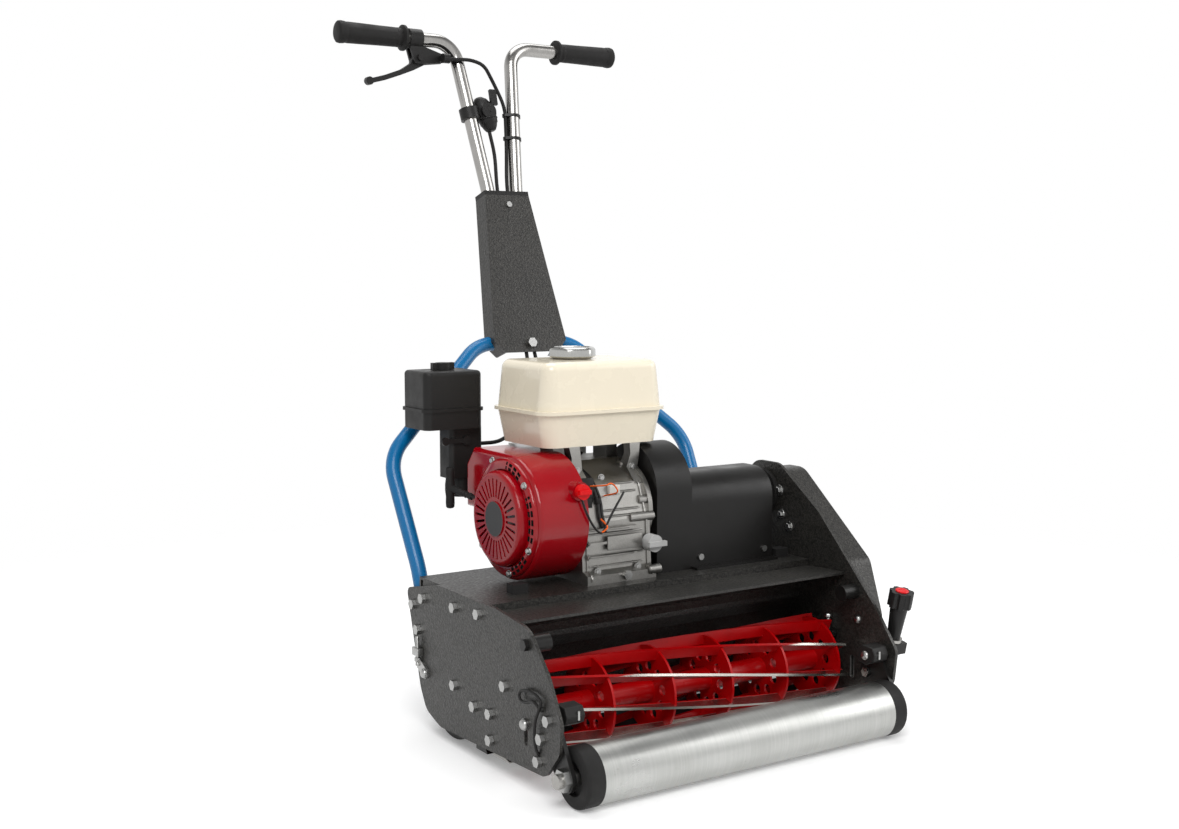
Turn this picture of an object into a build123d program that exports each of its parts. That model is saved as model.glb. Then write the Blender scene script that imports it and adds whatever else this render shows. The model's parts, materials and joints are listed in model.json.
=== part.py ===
from build123d import *
import os
from math import sin, cos, radians, degrees, atan2, hypot

os.makedirs("parts", exist_ok=True)

# A powered reel (cylinder) mower. X runs across the machine, the cutting reel faces -Y and the
# handle is towards +Y. Z is up from the ground. Millimetres.

# ---------------------------------------------------------------- driving dimensions
MID = -19.8             # centre line of the machine, so that the whole box is centred on X = 0
HALF_IN = 234.0         # centre line to the inner face of each side plate
PLATE_T = 4.0           # side plate thickness
SHEET_T = 3.0           # folded sheet thickness
FIT = 0.05              # radial clearance of a running shaft
GAP = 0.3               # clearance between pieces that move past each other

XL_IN = MID - HALF_IN
XL_OUT = XL_IN - PLATE_T
XR_IN = MID + HALF_IN
XR_OUT = XR_IN + PLATE_T

REEL_Y, REEL_Z, REEL_R = -168.0, 68.0, 55.0
DRUM_Y, DRUM_R = -18.0, 66.0
DRUM_Z = DRUM_R
ROLL_Y, ROLL_R = -289.0, 32.9
ROLL_Z = ROLL_R
SHAFT_Y, SHAFT_Z = -42.0, 264.0      # engine crankshaft and countershaft line
DECK_Z = 186.0                       # top of the deck
DECK_FRONT_Y, DECK_REAR_Y = -133.0, 44.0

BOLT_R, BOLT_HEAD_R, BOLT_HEAD_T = 3.9, 6.5, 5.0


# ---------------------------------------------------------------- small helpers
def rod_x(x0, x1, y, z, r):
    """A round bar along X."""
    with BuildPart() as rod:
        with BuildSketch(Plane.YZ.offset(x0)):
            with Locations((y, z)):
                Circle(r)
        extrude(amount=x1 - x0)
    return rod.part


def rod_y(y0, y1, x, z, r):
    """A round bar along Y."""
    with BuildPart() as rod:
        with BuildSketch(Plane(origin=(0, y0, 0), x_dir=(1, 0, 0), z_dir=(0, 1, 0))):
            with Locations((x, -z)):
                Circle(r)
        extrude(amount=y1 - y0)
    return rod.part


def rod_z(z0, z1, x, y, r):
    """A round bar along Z."""
    with BuildPart() as rod:
        with BuildSketch(Plane.XY.offset(z0)):
            with Locations((x, y)):
                Circle(r)
        extrude(amount=z1 - z0)
    return rod.part


def hex_x(x0, x1, y, z, r):
    """A hexagonal head or nut along X."""
    with BuildPart() as head:
        with BuildSketch(Plane.YZ.offset(x0)):
            with Locations((y, z)):
                RegularPolygon(r, 6)
        extrude(amount=x1 - x0)
    return head.part


def swept_tube(points, radii, outer_r, inner_r=0.0):
    """A round tube along straight runs joined by tangent arcs."""
    with BuildPart() as tube:
        with BuildLine() as path:
            FilletPolyline(*points, radius=radii)
        with BuildSketch(Plane(origin=path.line @ 0, z_dir=path.line % 0)):
            Circle(outer_r)
            if inner_r > 0:
                Circle(inner_r, mode=Mode.SUBTRACT)
        sweep(path=path.line)
    return tube.part


def cord_radii(points):
    """The largest neat arc at each corner of a cable's route."""
    radii = []
    for i in range(1, len(points) - 1):
        before = Vector(*points[i]) - Vector(*points[i - 1])
        after = Vector(*points[i + 1]) - Vector(*points[i])
        turn = before.get_angle(after)
        shorter = min(before.length, after.length)
        radii.append(0.45 * shorter / (sin(radians(turn) / 2) / cos(radians(turn) / 2)))
    return radii


# ---------------------------------------------------------------- side plates
LEFT_OUTLINE = [(72, 168), (-10, 186), (-150, 186), (-222, 178), (-262, 134), (-287, 90),
                (-284, 58), (-256, 26), (-15, 15), (22, 27), (37, 52)]
LEFT_RADII = [8, 60, 60, 40, 60, 16, 16, 20, 40, 24, 30]
RIGHT_OUTLINE = [(72, 150), (4, 262), (-22, 304), (-72, 304), (-150, 250), (-254, 147),
                 (-291, 100), (-286, 60), (-256, 26), (-15, 15), (22, 27), (37, 52)]
RIGHT_RADII = [12, 40, 26, 26, 60, 60, 14, 16, 20, 40, 24, 30]

DECK_BOLTS = [(26, 163), (-55, 168), (-113, 172)]
HOOP_BOLTS = [(52, 151), (40, 122)]
PLAIN_BOLTS = [(-54, 76), (-139, 64), (-172, 104), (-243, 40)]
LEFT_BOLTS = [(-102, 63), (-139, 34), (-263, 89)]
PIVOT_Y, PIVOT_Z = -249.0, 66.0
SLOT_Y, SLOT_Z0, SLOT_Z1, SLOT_W = -216.0, 53.0, 75.0, 7.0
PEG_Y, PEG_Z = -218.0, 160.0
AXLE_R = 10.0
REEL_END_R = 8.5
SHAFT_R = 10.0

with BuildPart() as side_plate_left:
    with BuildSketch(Plane.YZ.offset(XL_OUT)):
        with BuildLine():
            FilletPolyline(*LEFT_OUTLINE, radius=LEFT_RADII, close=True)
        make_face()
        with Locations(*(DECK_BOLTS + HOOP_BOLTS + PLAIN_BOLTS + LEFT_BOLTS + [(PIVOT_Y, PIVOT_Z)])):
            Circle(BOLT_R, mode=Mode.SUBTRACT)
        with Locations((PEG_Y, PEG_Z)):
            Circle(BOLT_R, mode=Mode.SUBTRACT)
        with Locations((SLOT_Y, (SLOT_Z0 + SLOT_Z1) / 2)):
            SlotCenterToCenter(SLOT_Z1 - SLOT_Z0, SLOT_W, rotation=90, mode=Mode.SUBTRACT)
    extrude(amount=PLATE_T)
side_plate_left.part.label = "side_plate_left"
export_step(side_plate_left.part, "parts/side_plate_left.step")

with BuildPart() as side_plate_right:
    with BuildSketch(Plane.YZ.offset(XR_IN)):
        with BuildLine():
            FilletPolyline(*RIGHT_OUTLINE, radius=RIGHT_RADII, close=True)
        make_face()
        with Locations(*(DECK_BOLTS + HOOP_BOLTS + PLAIN_BOLTS + [(PIVOT_Y, PIVOT_Z)])):
            Circle(BOLT_R, mode=Mode.SUBTRACT)
        with Locations((DRUM_Y, DRUM_Z), (SHAFT_Y, SHAFT_Z)):
            Circle(AXLE_R + FIT, mode=Mode.SUBTRACT)
        with Locations((REEL_Y, REEL_Z)):
            Circle(REEL_END_R + GAP, mode=Mode.SUBTRACT)
        with Locations((PEG_Y, PEG_Z)):
            Circle(BOLT_R, mode=Mode.SUBTRACT)
        with Locations((SLOT_Y, (SLOT_Z0 + SLOT_Z1) / 2)):
            SlotCenterToCenter(SLOT_Z1 - SLOT_Z0, SLOT_W, rotation=90, mode=Mode.SUBTRACT)
    extrude(amount=PLATE_T)
side_plate_right.part.label = "side_plate_right"
export_step(side_plate_right.part, "parts/side_plate_right.step")

# ---------------------------------------------------------------- deck
# A folded sheet: flat top, a short front drop, then a strip that runs forward to the lip.
LIP_Y, LIP_Z, DROP = -200.0, 181.0, 8.0
FLANGE_BOTTOM_Z, FLANGE_Y0, FLANGE_Y1 = 156.0, -125.0, 35.0
deck_profile = [(DECK_REAR_Y, DECK_Z), (DECK_FRONT_Y, DECK_Z), (DECK_FRONT_Y, DECK_Z - DROP),
                (LIP_Y, LIP_Z), (LIP_Y, LIP_Z - SHEET_T),
                (DECK_FRONT_Y + SHEET_T, DECK_Z - DROP - SHEET_T),
                (DECK_FRONT_Y + SHEET_T, DECK_Z - SHEET_T), (DECK_REAR_Y - SHEET_T, DECK_Z - SHEET_T),
                (DECK_REAR_Y - SHEET_T, DECK_Z - 4 * SHEET_T), (DECK_REAR_Y, DECK_Z - 4 * SHEET_T)]
# A thin grass shield hangs from the strip and runs down between the reel and the drum.
SHIELD_T = 1.2
SHIELD = [(-137, 176.5), (-117, 150), (-114.5, 140), (-114.5, 134), (-99.5, 118), (-89.6, 100), (-87.6, 84),
          (-87.9, 72), (-88.8, 60)]
with BuildPart() as deck:
    with BuildSketch(Plane.YZ.offset(XL_IN)):
        with BuildLine():
            Polyline(*deck_profile, close=True)
        make_face()
    extrude(amount=2 * HALF_IN)
    with BuildSketch(Plane.YZ.offset(XL_IN)):
        with BuildLine():
            Polyline(*(SHIELD + [(y_s + SHIELD_T, z_s) for y_s, z_s in reversed(SHIELD)]), close=True)
        make_face()
    extrude(amount=2 * HALF_IN)
    with BuildSketch(Plane.YZ.offset(XL_IN)):
        with Locations((REEL_Y, REEL_Z)):
            Circle(REEL_R + 3)
    extrude(amount=2 * HALF_IN, mode=Mode.SUBTRACT)
    for x_flange in (XL_IN, XR_IN - SHEET_T):
        with BuildSketch(Plane.YZ.offset(x_flange)):
            with Locations(((FLANGE_Y0 + FLANGE_Y1) / 2, (FLANGE_BOTTOM_Z + DECK_Z - SHEET_T) / 2)):
                Rectangle(FLANGE_Y1 - FLANGE_Y0, DECK_Z - SHEET_T - FLANGE_BOTTOM_Z)
        extrude(amount=SHEET_T)
    with BuildSketch(Plane.YZ.offset(XL_OUT)):
        with Locations(*DECK_BOLTS):
            Circle(BOLT_R)
    extrude(amount=2 * HALF_IN + 2 * PLATE_T, mode=Mode.SUBTRACT)
deck.part.label = "deck"
export_step(deck.part, "parts/deck.step")

# ---------------------------------------------------------------- bolts on the side plates
# Each bolt is a head outside, a shank through the plate and, where there is room, a nut inside.
NUT_T = 5.0
NUT_R = 6.0
with BuildPart() as bolts:
    for y_b, z_b in HOOP_BOLTS:
        add(hex_x(XL_OUT - BOLT_HEAD_T, XL_OUT, y_b, z_b, BOLT_HEAD_R))
        add(rod_x(XL_OUT, XL_IN, y_b, z_b, BOLT_R))
        add(hex_x(XR_OUT, XR_OUT + BOLT_HEAD_T, y_b, z_b, BOLT_HEAD_R))
        add(rod_x(XR_IN, XR_OUT, y_b, z_b, BOLT_R))
    for y_b, z_b in DECK_BOLTS:
        add(hex_x(XL_OUT - BOLT_HEAD_T, XL_OUT, y_b, z_b, BOLT_HEAD_R))
        add(rod_x(XL_OUT, XL_IN + SHEET_T, y_b, z_b, BOLT_R))
        add(hex_x(XL_IN + SHEET_T, XL_IN + SHEET_T + NUT_T, y_b, z_b, NUT_R))
        add(hex_x(XR_OUT, XR_OUT + BOLT_HEAD_T, y_b, z_b, BOLT_HEAD_R))
        add(rod_x(XR_IN - SHEET_T, XR_OUT, y_b, z_b, BOLT_R))
        add(hex_x(XR_IN - SHEET_T - NUT_T, XR_IN - SHEET_T, y_b, z_b, NUT_R))
    for y_b, z_b in PLAIN_BOLTS:
        add(hex_x(XL_OUT - BOLT_HEAD_T, XL_OUT, y_b, z_b, BOLT_HEAD_R))
        add(rod_x(XL_OUT, XL_IN, y_b, z_b, BOLT_R))
        add(hex_x(XR_OUT, XR_OUT + BOLT_HEAD_T, y_b, z_b, BOLT_HEAD_R))
        add(rod_x(XR_IN, XR_OUT, y_b, z_b, BOLT_R))
    for y_b, z_b in LEFT_BOLTS:
        add(hex_x(XL_OUT - BOLT_HEAD_T, XL_OUT, y_b, z_b, BOLT_HEAD_R))
        add(rod_x(XL_OUT, XL_IN, y_b, z_b, BOLT_R))
    add(rod_x(XL_OUT - 3, XL_OUT, SLOT_Y, SLOT_Z1 - 2, BOLT_HEAD_R))
    add(rod_x(XL_OUT, XL_IN, SLOT_Y, SLOT_Z1 - 2, SLOT_W / 2 - 0.1))

ARM_T = 5.0             # roller arm thickness
ARM_X = HALF_IN - GAP - ARM_T
PIVOT_NUT_X = ARM_X - GAP - NUT_T
PIVOT_BOLTS = [(-1, MID - PIVOT_NUT_X - NUT_T), (1, MID + PIVOT_NUT_X)]
for side, x_nut in PIVOT_BOLTS:
    x_head = min(MID + side * (HALF_IN + PLATE_T), MID + side * (HALF_IN + PLATE_T + BOLT_HEAD_T))
    x_far = x_head + BOLT_HEAD_T
    with bolts:
        add(hex_x(x_head, x_far, PIVOT_Y, PIVOT_Z, BOLT_HEAD_R))
        add(hex_x(x_nut, x_nut + NUT_T, PIVOT_Y, PIVOT_Z, NUT_R))
        add(rod_x(min(x_far, x_nut + NUT_T), max(x_head, x_nut), PIVOT_Y, PIVOT_Z, BOLT_R))

# ---------------------------------------------------------------- catcher pegs
PEG_R, PEG_LEN = 9.5, 23.0
with BuildPart() as catcher_pegs:
    for side in (-1, 1):
        x_face = MID + side * HALF_IN
        x_end = MID + side * (HALF_IN - PEG_LEN)
        x_out = MID + side * (HALF_IN + PLATE_T)
        x_cap = MID + side * (HALF_IN + PLATE_T + BOLT_HEAD_T)
        add(rod_x(min(x_face, x_end), max(x_face, x_end), PEG_Y, PEG_Z, PEG_R))
        add(rod_x(min(x_face, x_out), max(x_face, x_out), PEG_Y, PEG_Z, BOLT_R))
        add(hex_x(min(x_out, x_cap), max(x_out, x_cap), PEG_Y, PEG_Z, BOLT_HEAD_R))
catcher_pegs.part.label = "catcher_pegs"
export_step(catcher_pegs.part, "parts/catcher_pegs.step")

# ---------------------------------------------------------------- tie bars between the plates
TIE_R = 7.0
with BuildPart() as tie_bars:
    add(rod_x(XL_IN, XR_IN, 20, 140, TIE_R))
    add(rod_x(XL_IN, XR_IN, -105, 140, TIE_R))
tie_bars.part.label = "tie_bars"
export_step(tie_bars.part, "parts/tie_bars.step")

# ---------------------------------------------------------------- bedknife and its holder
BLADE_HALF = 223.0         # half length of the reel's blades
KNIFE_T, KNIFE_W = 3.5, 26.0
KNIFE_TOP_Z = REEL_Z - REEL_R
KNIFE_Y0 = REEL_Y + 5.0
HOLDER_H, HOLDER_W = 12.0, 30.0
HOLDER_Y0 = KNIFE_Y0 + 36.0
with BuildPart() as bedknife:
    with BuildSketch(Plane.YZ.offset(MID - BLADE_HALF - 1)):
        with BuildLine():
            Polyline((KNIFE_Y0 + 8, KNIFE_TOP_Z - 2.5), (KNIFE_Y0 + 8, KNIFE_TOP_Z - 4),
                     (KNIFE_Y0 + 66, KNIFE_TOP_Z - 4), (KNIFE_Y0 + 66, KNIFE_TOP_Z - 1),
                     (KNIFE_Y0 + 16, KNIFE_TOP_Z - 1), close=True)
        make_face()
    extrude(amount=2 * BLADE_HALF + 2)
bedknife.part.label = "bedknife"
export_step(bedknife.part, "parts/bedknife.step")

with BuildPart() as bedknife_holder:
    with BuildSketch(Plane.YZ.offset(XL_IN)):
        with BuildLine():
            Polyline((HOLDER_Y0 + 4, KNIFE_TOP_Z - 1), (HOLDER_Y0 + HOLDER_W, KNIFE_TOP_Z - 1),
                     (HOLDER_Y0 + HOLDER_W, KNIFE_TOP_Z + 10), (HOLDER_Y0 + 16, KNIFE_TOP_Z + 16),
                     close=True)
        make_face()
    extrude(amount=2 * HALF_IN)
bedknife_holder.part.label = "bedknife_holder"
export_step(bedknife_holder.part, "parts/bedknife_holder.step")

# ---------------------------------------------------------------- cutting reel
BLADES = 9
BLADE_T, BLADE_W = 3.0, 14.0
BLADE_TWIST = 72.0
BLADE_STEPS = 8
SPIDERS = 6
SPIDER_HALF = 209.5
SPIDER_T = 3.0
REEL_TUBE_R = 13.0
with BuildPart() as one_blade:
    for k in range(BLADE_STEPS + 1):
        along = k / BLADE_STEPS
        turn = radians(BLADE_TWIST * along)
        with BuildSketch(Plane(origin=(MID - BLADE_HALF + 2 * BLADE_HALF * along, REEL_Y, REEL_Z),
                               x_dir=(0, cos(turn), sin(turn)), z_dir=(1, 0, 0))):
            with Locations((REEL_R - BLADE_W / 2, 0)):
                Rectangle(BLADE_W, BLADE_T)
    loft()

REEL_AXIS = Axis((0, REEL_Y, REEL_Z), (1, 0, 0))
with BuildPart() as reel_blades:
    for k in range(BLADES):
        add(one_blade.part.rotate(REEL_AXIS, 360 / BLADES * k))
reel_blades.part.label = "reel_blades"
export_step(reel_blades.part, "parts/reel_blades.step")

SPIDER_R = REEL_R - 3
HOLE_R, HOLE_AT = 6.0, 28.0
with BuildPart() as reel_spiders:
    for k in range(SPIDERS):
        x_sp = MID - SPIDER_HALF + 2 * SPIDER_HALF * k / (SPIDERS - 1)
        turn = radians(BLADE_TWIST * (x_sp - MID + BLADE_HALF) / (2 * BLADE_HALF))
        with BuildSketch(Plane(origin=(x_sp - SPIDER_T / 2, REEL_Y, REEL_Z),
                               x_dir=(0, cos(turn), sin(turn)), z_dir=(1, 0, 0))):
            Circle(SPIDER_R)
            Circle(REEL_TUBE_R, mode=Mode.SUBTRACT)
            with PolarLocations(HOLE_AT, BLADES, start_angle=180 / BLADES):
                Circle(HOLE_R, mode=Mode.SUBTRACT)
        extrude(amount=SPIDER_T)
    add(reel_blades.part, mode=Mode.SUBTRACT)
reel_spiders.part.label = "reel_spiders"
export_step(reel_spiders.part, "parts/reel_spiders.step")

SPROCKET_X = XR_OUT + 12.0
SPROCKET_T = 5.0
CHAIN_PITCH_X = 12.0
REEL_SHAFT_END = SPROCKET_X + SPROCKET_T + 4
with BuildPart() as reel_shaft:
    add(rod_x(XL_IN + 10, XR_IN - 10, REEL_Y, REEL_Z, REEL_TUBE_R))
    add(rod_x(XL_IN + 1, REEL_SHAFT_END, REEL_Y, REEL_Z, REEL_END_R))
reel_shaft.part.label = "reel_shaft"
export_step(reel_shaft.part, "parts/reel_shaft.step")

HOUSING_T, HOUSING_R = 9.5, 21.0
with BuildPart() as reel_bearings:
    for x_h in (XL_IN, XR_IN - HOUSING_T):
        with BuildSketch(Plane.YZ.offset(x_h)):
            with Locations((REEL_Y, REEL_Z)):
                Circle(HOUSING_R)
                Circle(REEL_END_R + FIT, mode=Mode.SUBTRACT)
        extrude(amount=HOUSING_T)
    with BuildSketch(Plane.YZ.offset(XL_IN)):
        with Locations((DRUM_Y, DRUM_Z)):
            Circle(HOUSING_R - 1)
            Circle(AXLE_R + FIT, mode=Mode.SUBTRACT)
    extrude(amount=HOUSING_T)
reel_bearings.part.label = "reel_bearings"
export_step(reel_bearings.part, "parts/reel_bearings.step")

# ---------------------------------------------------------------- rear drum
DRUM_GAP, DRUM_HALF, DRUM_SHELL, WEB_T = 3.0, 222.0, 4.0, 5.0
with BuildPart() as drum_halves:
    for x0, x1 in ((MID - DRUM_HALF, MID - DRUM_GAP / 2), (MID + DRUM_GAP / 2, MID + DRUM_HALF)):
        with BuildSketch(Plane.YZ.offset(x0)):
            with Locations((DRUM_Y, DRUM_Z)):
                Circle(DRUM_R)
                Circle(DRUM_R - DRUM_SHELL, mode=Mode.SUBTRACT)
        extrude(amount=x1 - x0)
        for x_web in (x0, x1 - WEB_T):
            with BuildSketch(Plane.YZ.offset(x_web)):
                with Locations((DRUM_Y, DRUM_Z)):
                    Circle(DRUM_R - 1)
                    Circle(AXLE_R, mode=Mode.SUBTRACT)
            extrude(amount=WEB_T)
drum_halves.part.label = "drum_halves"
export_step(drum_halves.part, "parts/drum_halves.step")

DRUM_SPROCKET_X = SPROCKET_X + CHAIN_PITCH_X
with BuildPart() as drum_axle:
    add(rod_x(XL_IN + GAP, DRUM_SPROCKET_X + SPROCKET_T + 4, DRUM_Y, DRUM_Z, AXLE_R))
drum_axle.part.label = "drum_axle"
export_step(drum_axle.part, "parts/drum_axle.step")

# ---------------------------------------------------------------- front roller
ROLL_HALF, CAP_LEN, ROLL_WALL = 205.0, 21.0, 3.0
ROLL_AXLE_R = 8.0
with BuildPart() as front_roller:
    with BuildSketch(Plane.YZ.offset(MID - ROLL_HALF)):
        with Locations((ROLL_Y, ROLL_Z)):
            Circle(ROLL_R)
            Circle(ROLL_R - ROLL_WALL, mode=Mode.SUBTRACT)
    extrude(amount=2 * ROLL_HALF)
front_roller.part.label = "front_roller"
export_step(front_roller.part, "parts/front_roller.step")


def roller_cap(side):
    """A rubber end cap with a recessed hub; side is -1 or 1."""
    plane = Plane(origin=(MID + side * ROLL_HALF, ROLL_Y, ROLL_Z), x_dir=(0, 1, 0),
                  z_dir=(side, 0, 0))
    with BuildPart() as cap:
        with BuildSketch(plane):
            Circle(ROLL_R)
        extrude(amount=CAP_LEN)
        fillet(cap.faces().sort_by(Axis.X)[0 if side < 0 else -1].edges(), 4)
        with BuildSketch(plane):
            Circle(ROLL_R - ROLL_WALL)
        extrude(amount=-14)
        with BuildSketch(plane.offset(CAP_LEN - 7)):
            Circle(19)
        extrude(amount=7, mode=Mode.SUBTRACT)
        with BuildSketch(plane.offset(-14)):
            Circle(ROLL_AXLE_R + FIT)
        extrude(amount=CAP_LEN + 14, mode=Mode.SUBTRACT)
    return cap.part


with BuildPart() as roller_caps:
    add(roller_cap(-1))
    add(roller_cap(1))
roller_caps.part.label = "roller_caps"
export_step(roller_caps.part, "parts/roller_caps.step")

AXLE_END = HALF_IN + 12.0
with BuildPart() as roller_axle:
    add(rod_x(MID - AXLE_END, MID + AXLE_END, ROLL_Y, ROLL_Z, ROLL_AXLE_R))
roller_axle.part.label = "roller_axle"
export_step(roller_axle.part, "parts/roller_axle.step")

with BuildPart() as roller_arms:
    for x_arm in (MID - ARM_X - ARM_T, MID + ARM_X):
        with BuildSketch(Plane.YZ.offset(x_arm)):
            with Locations((ROLL_Y, ROLL_Z)):
                Circle(14)
            with Locations((PIVOT_Y, PIVOT_Z)):
                Circle(13)
            with Locations((-258, 92)):
                Circle(9)
            make_hull()
            with Locations((ROLL_Y, ROLL_Z)):
                Circle(ROLL_AXLE_R, mode=Mode.SUBTRACT)
            with Locations((PIVOT_Y, PIVOT_Z)):
                Circle(BOLT_R + FIT, mode=Mode.SUBTRACT)
        extrude(amount=ARM_T)
roller_arms.part.label = "roller_arms"
export_step(roller_arms.part, "parts/roller_arms.step")

NUT_OUT_R, NUT_OUT_T = 12.5, 7.0
with BuildPart() as roller_nuts:
    for side in (-1, 1):
        x_in = MID + side * (HALF_IN - GAP)
        x_out = MID + side * (HALF_IN - GAP + NUT_OUT_T)
        with BuildSketch(Plane.YZ.offset(min(x_in, x_out))):
            with Locations((ROLL_Y, ROLL_Z)):
                RegularPolygon(NUT_OUT_R, 6)
                Circle(ROLL_AXLE_R, mode=Mode.SUBTRACT)
        extrude(amount=NUT_OUT_T)
roller_nuts.part.label = "roller_nuts"
export_step(roller_nuts.part, "parts/roller_nuts.step")

# ---------------------------------------------------------------- height adjuster, outside right
ADJ_X = MID + 262.0
adj_dir = Vector(0, -13, 61).normalized()
adj_plane = Plane(origin=(ADJ_X, -258.0, 104.0), x_dir=(1, 0, 0), z_dir=adj_dir)
block_plane = adj_plane.offset(-16)
with BuildPart() as adjuster_block:
    with BuildSketch(block_plane):
        with Locations(((XR_OUT - ADJ_X + 13) / 2, 0)):
            Rectangle(ADJ_X + 13 - XR_OUT, 24)
        Circle(5 + FIT, mode=Mode.SUBTRACT)
    extrude(amount=14)
adjuster_block.part.label = "adjuster_block"
export_step(adjuster_block.part, "parts/adjuster_block.step")

with BuildPart() as adjuster_screw:
    with BuildSketch(adj_plane.offset(-34)):
        Circle(5)
    extrude(amount=34 + 44)
    with BuildSketch(adj_plane.offset(-2 + GAP)):
        Circle(11)
    extrude(amount=4)
adjuster_screw.part.label = "adjuster_screw"
export_step(adjuster_screw.part, "parts/adjuster_screw.step")

with BuildPart() as adjuster_knob:
    with BuildSketch(adj_plane.offset(2 + GAP)):
        Circle(8)
    with BuildSketch(adj_plane.offset(44)):
        Circle(11)
    loft()
    with BuildSketch(adj_plane.offset(44)):
        Circle(15)
        with PolarLocations(17, 7):
            Circle(4.5, mode=Mode.SUBTRACT)
    extrude(amount=20)
    with BuildSketch(adj_plane.offset(2 + GAP)):
        Circle(5)
    extrude(amount=42 - GAP, mode=Mode.SUBTRACT)
adjuster_knob.part.label = "adjuster_knob"
export_step(adjuster_knob.part, "parts/adjuster_knob.step")

# ---------------------------------------------------------------- countershaft, sprockets, chains
COVER_X0, COVER_X1 = MID + 17.0, MID + 70.0
CLUTCH_CUP_R = 46.0
with BuildPart() as countershaft:
    add(rod_x(COVER_X0 + 40, DRUM_SPROCKET_X + SPROCKET_T + 4, SHAFT_Y, SHAFT_Z, SHAFT_R))
    with BuildSketch(Plane.YZ.offset(COVER_X0 + 14)):
        with Locations((SHAFT_Y, SHAFT_Z)):
            Circle(CLUTCH_CUP_R)
            Circle(CLUTCH_CUP_R - 3, mode=Mode.SUBTRACT)
    extrude(amount=26)
    add(rod_x(COVER_X0 + 40, COVER_X0 + 44, SHAFT_Y, SHAFT_Z, CLUTCH_CUP_R))
countershaft.part.label = "countershaft"
export_step(countershaft.part, "parts/countershaft.step")

DRIVE_R, REEL_SP_R, DRUM_SP_R = 18.0, 27.0, 36.0
CHAIN_T, CHAIN_W = 5.0, 5.0


def toothed_wheel(x0, y, z, r, bore, teeth):
    """A chain sprocket with short rounded teeth."""
    with BuildPart() as wheel:
        with BuildSketch(Plane.YZ.offset(x0)):
            with Locations((y, z)):
                Circle(r)
                with PolarLocations(r + 0.6, teeth):
                    Circle(1.9, mode=Mode.SUBTRACT)
                Circle(bore, mode=Mode.SUBTRACT)
        extrude(amount=SPROCKET_T)
    return wheel.part


with BuildPart() as drive_sprocket:
    add(toothed_wheel(SPROCKET_X, SHAFT_Y, SHAFT_Z, DRIVE_R, SHAFT_R, 14))
    add(toothed_wheel(DRUM_SPROCKET_X, SHAFT_Y, SHAFT_Z, DRIVE_R, SHAFT_R, 14))
    with BuildSketch(Plane.YZ.offset(SPROCKET_X + SPROCKET_T)):
        with Locations((SHAFT_Y, SHAFT_Z)):
            Circle(13.5)
            Circle(SHAFT_R, mode=Mode.SUBTRACT)
    extrude(amount=CHAIN_PITCH_X - SPROCKET_T)
drive_sprocket.part.label = "drive_sprocket"
export_step(drive_sprocket.part, "parts/drive_sprocket.step")

with BuildPart() as reel_sprocket:
    add(toothed_wheel(SPROCKET_X, REEL_Y, REEL_Z, REEL_SP_R, REEL_END_R, 21))
reel_sprocket.part.label = "reel_sprocket"
export_step(reel_sprocket.part, "parts/reel_sprocket.step")

with BuildPart() as drum_sprocket:
    add(toothed_wheel(DRUM_SPROCKET_X, DRUM_Y, DRUM_Z, DRUM_SP_R, AXLE_R, 28))
drum_sprocket.part.label = "drum_sprocket"
export_step(drum_sprocket.part, "parts/drum_sprocket.step")


def chain_loop(x0, y1, z1, r1, y2, z2, r2):
    """A closed roller chain as one thin band around two sprockets."""
    with BuildPart() as loop:
        with BuildSketch(Plane.YZ.offset(x0)):
            with Locations((y1, z1)):
                Circle(r1 + GAP + CHAIN_T)
            with Locations((y2, z2)):
                Circle(r2 + GAP + CHAIN_T)
            make_hull()
        extrude(amount=CHAIN_W)
        with BuildSketch(Plane.YZ.offset(x0)):
            with Locations((y1, z1)):
                Circle(r1 + GAP)
            with Locations((y2, z2)):
                Circle(r2 + GAP)
            make_hull()
        extrude(amount=CHAIN_W, mode=Mode.SUBTRACT)
    return loop.part


with BuildPart() as drive_chains:
    add(chain_loop(SPROCKET_X, SHAFT_Y, SHAFT_Z, DRIVE_R, REEL_Y, REEL_Z, REEL_SP_R))
    add(chain_loop(DRUM_SPROCKET_X, SHAFT_Y, SHAFT_Z, DRIVE_R, DRUM_Y, DRUM_Z, DRUM_SP_R))
drive_chains.part.label = "drive_chains"
export_step(drive_chains.part, "parts/drive_chains.step")

FLANGE_R, BOSS_R = 30.0, 21.0
with BuildPart() as countershaft_bearing:
    with BuildSketch(Plane.YZ.offset(XR_IN - 6)):
        with Locations((SHAFT_Y, SHAFT_Z)):
            Circle(FLANGE_R)
    extrude(amount=6)
    with BuildSketch(Plane.YZ.offset(XR_IN - 26)):
        with Locations((SHAFT_Y, SHAFT_Z)):
            Circle(BOSS_R)
    extrude(amount=20)
    with BuildSketch(Plane.YZ.offset(XR_IN - 26)):
        with Locations((SHAFT_Y, SHAFT_Z)):
            Circle(SHAFT_R + FIT)
    extrude(amount=26, mode=Mode.SUBTRACT)
countershaft_bearing.part.label = "countershaft_bearing"
export_step(countershaft_bearing.part, "parts/countershaft_bearing.step")

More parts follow.
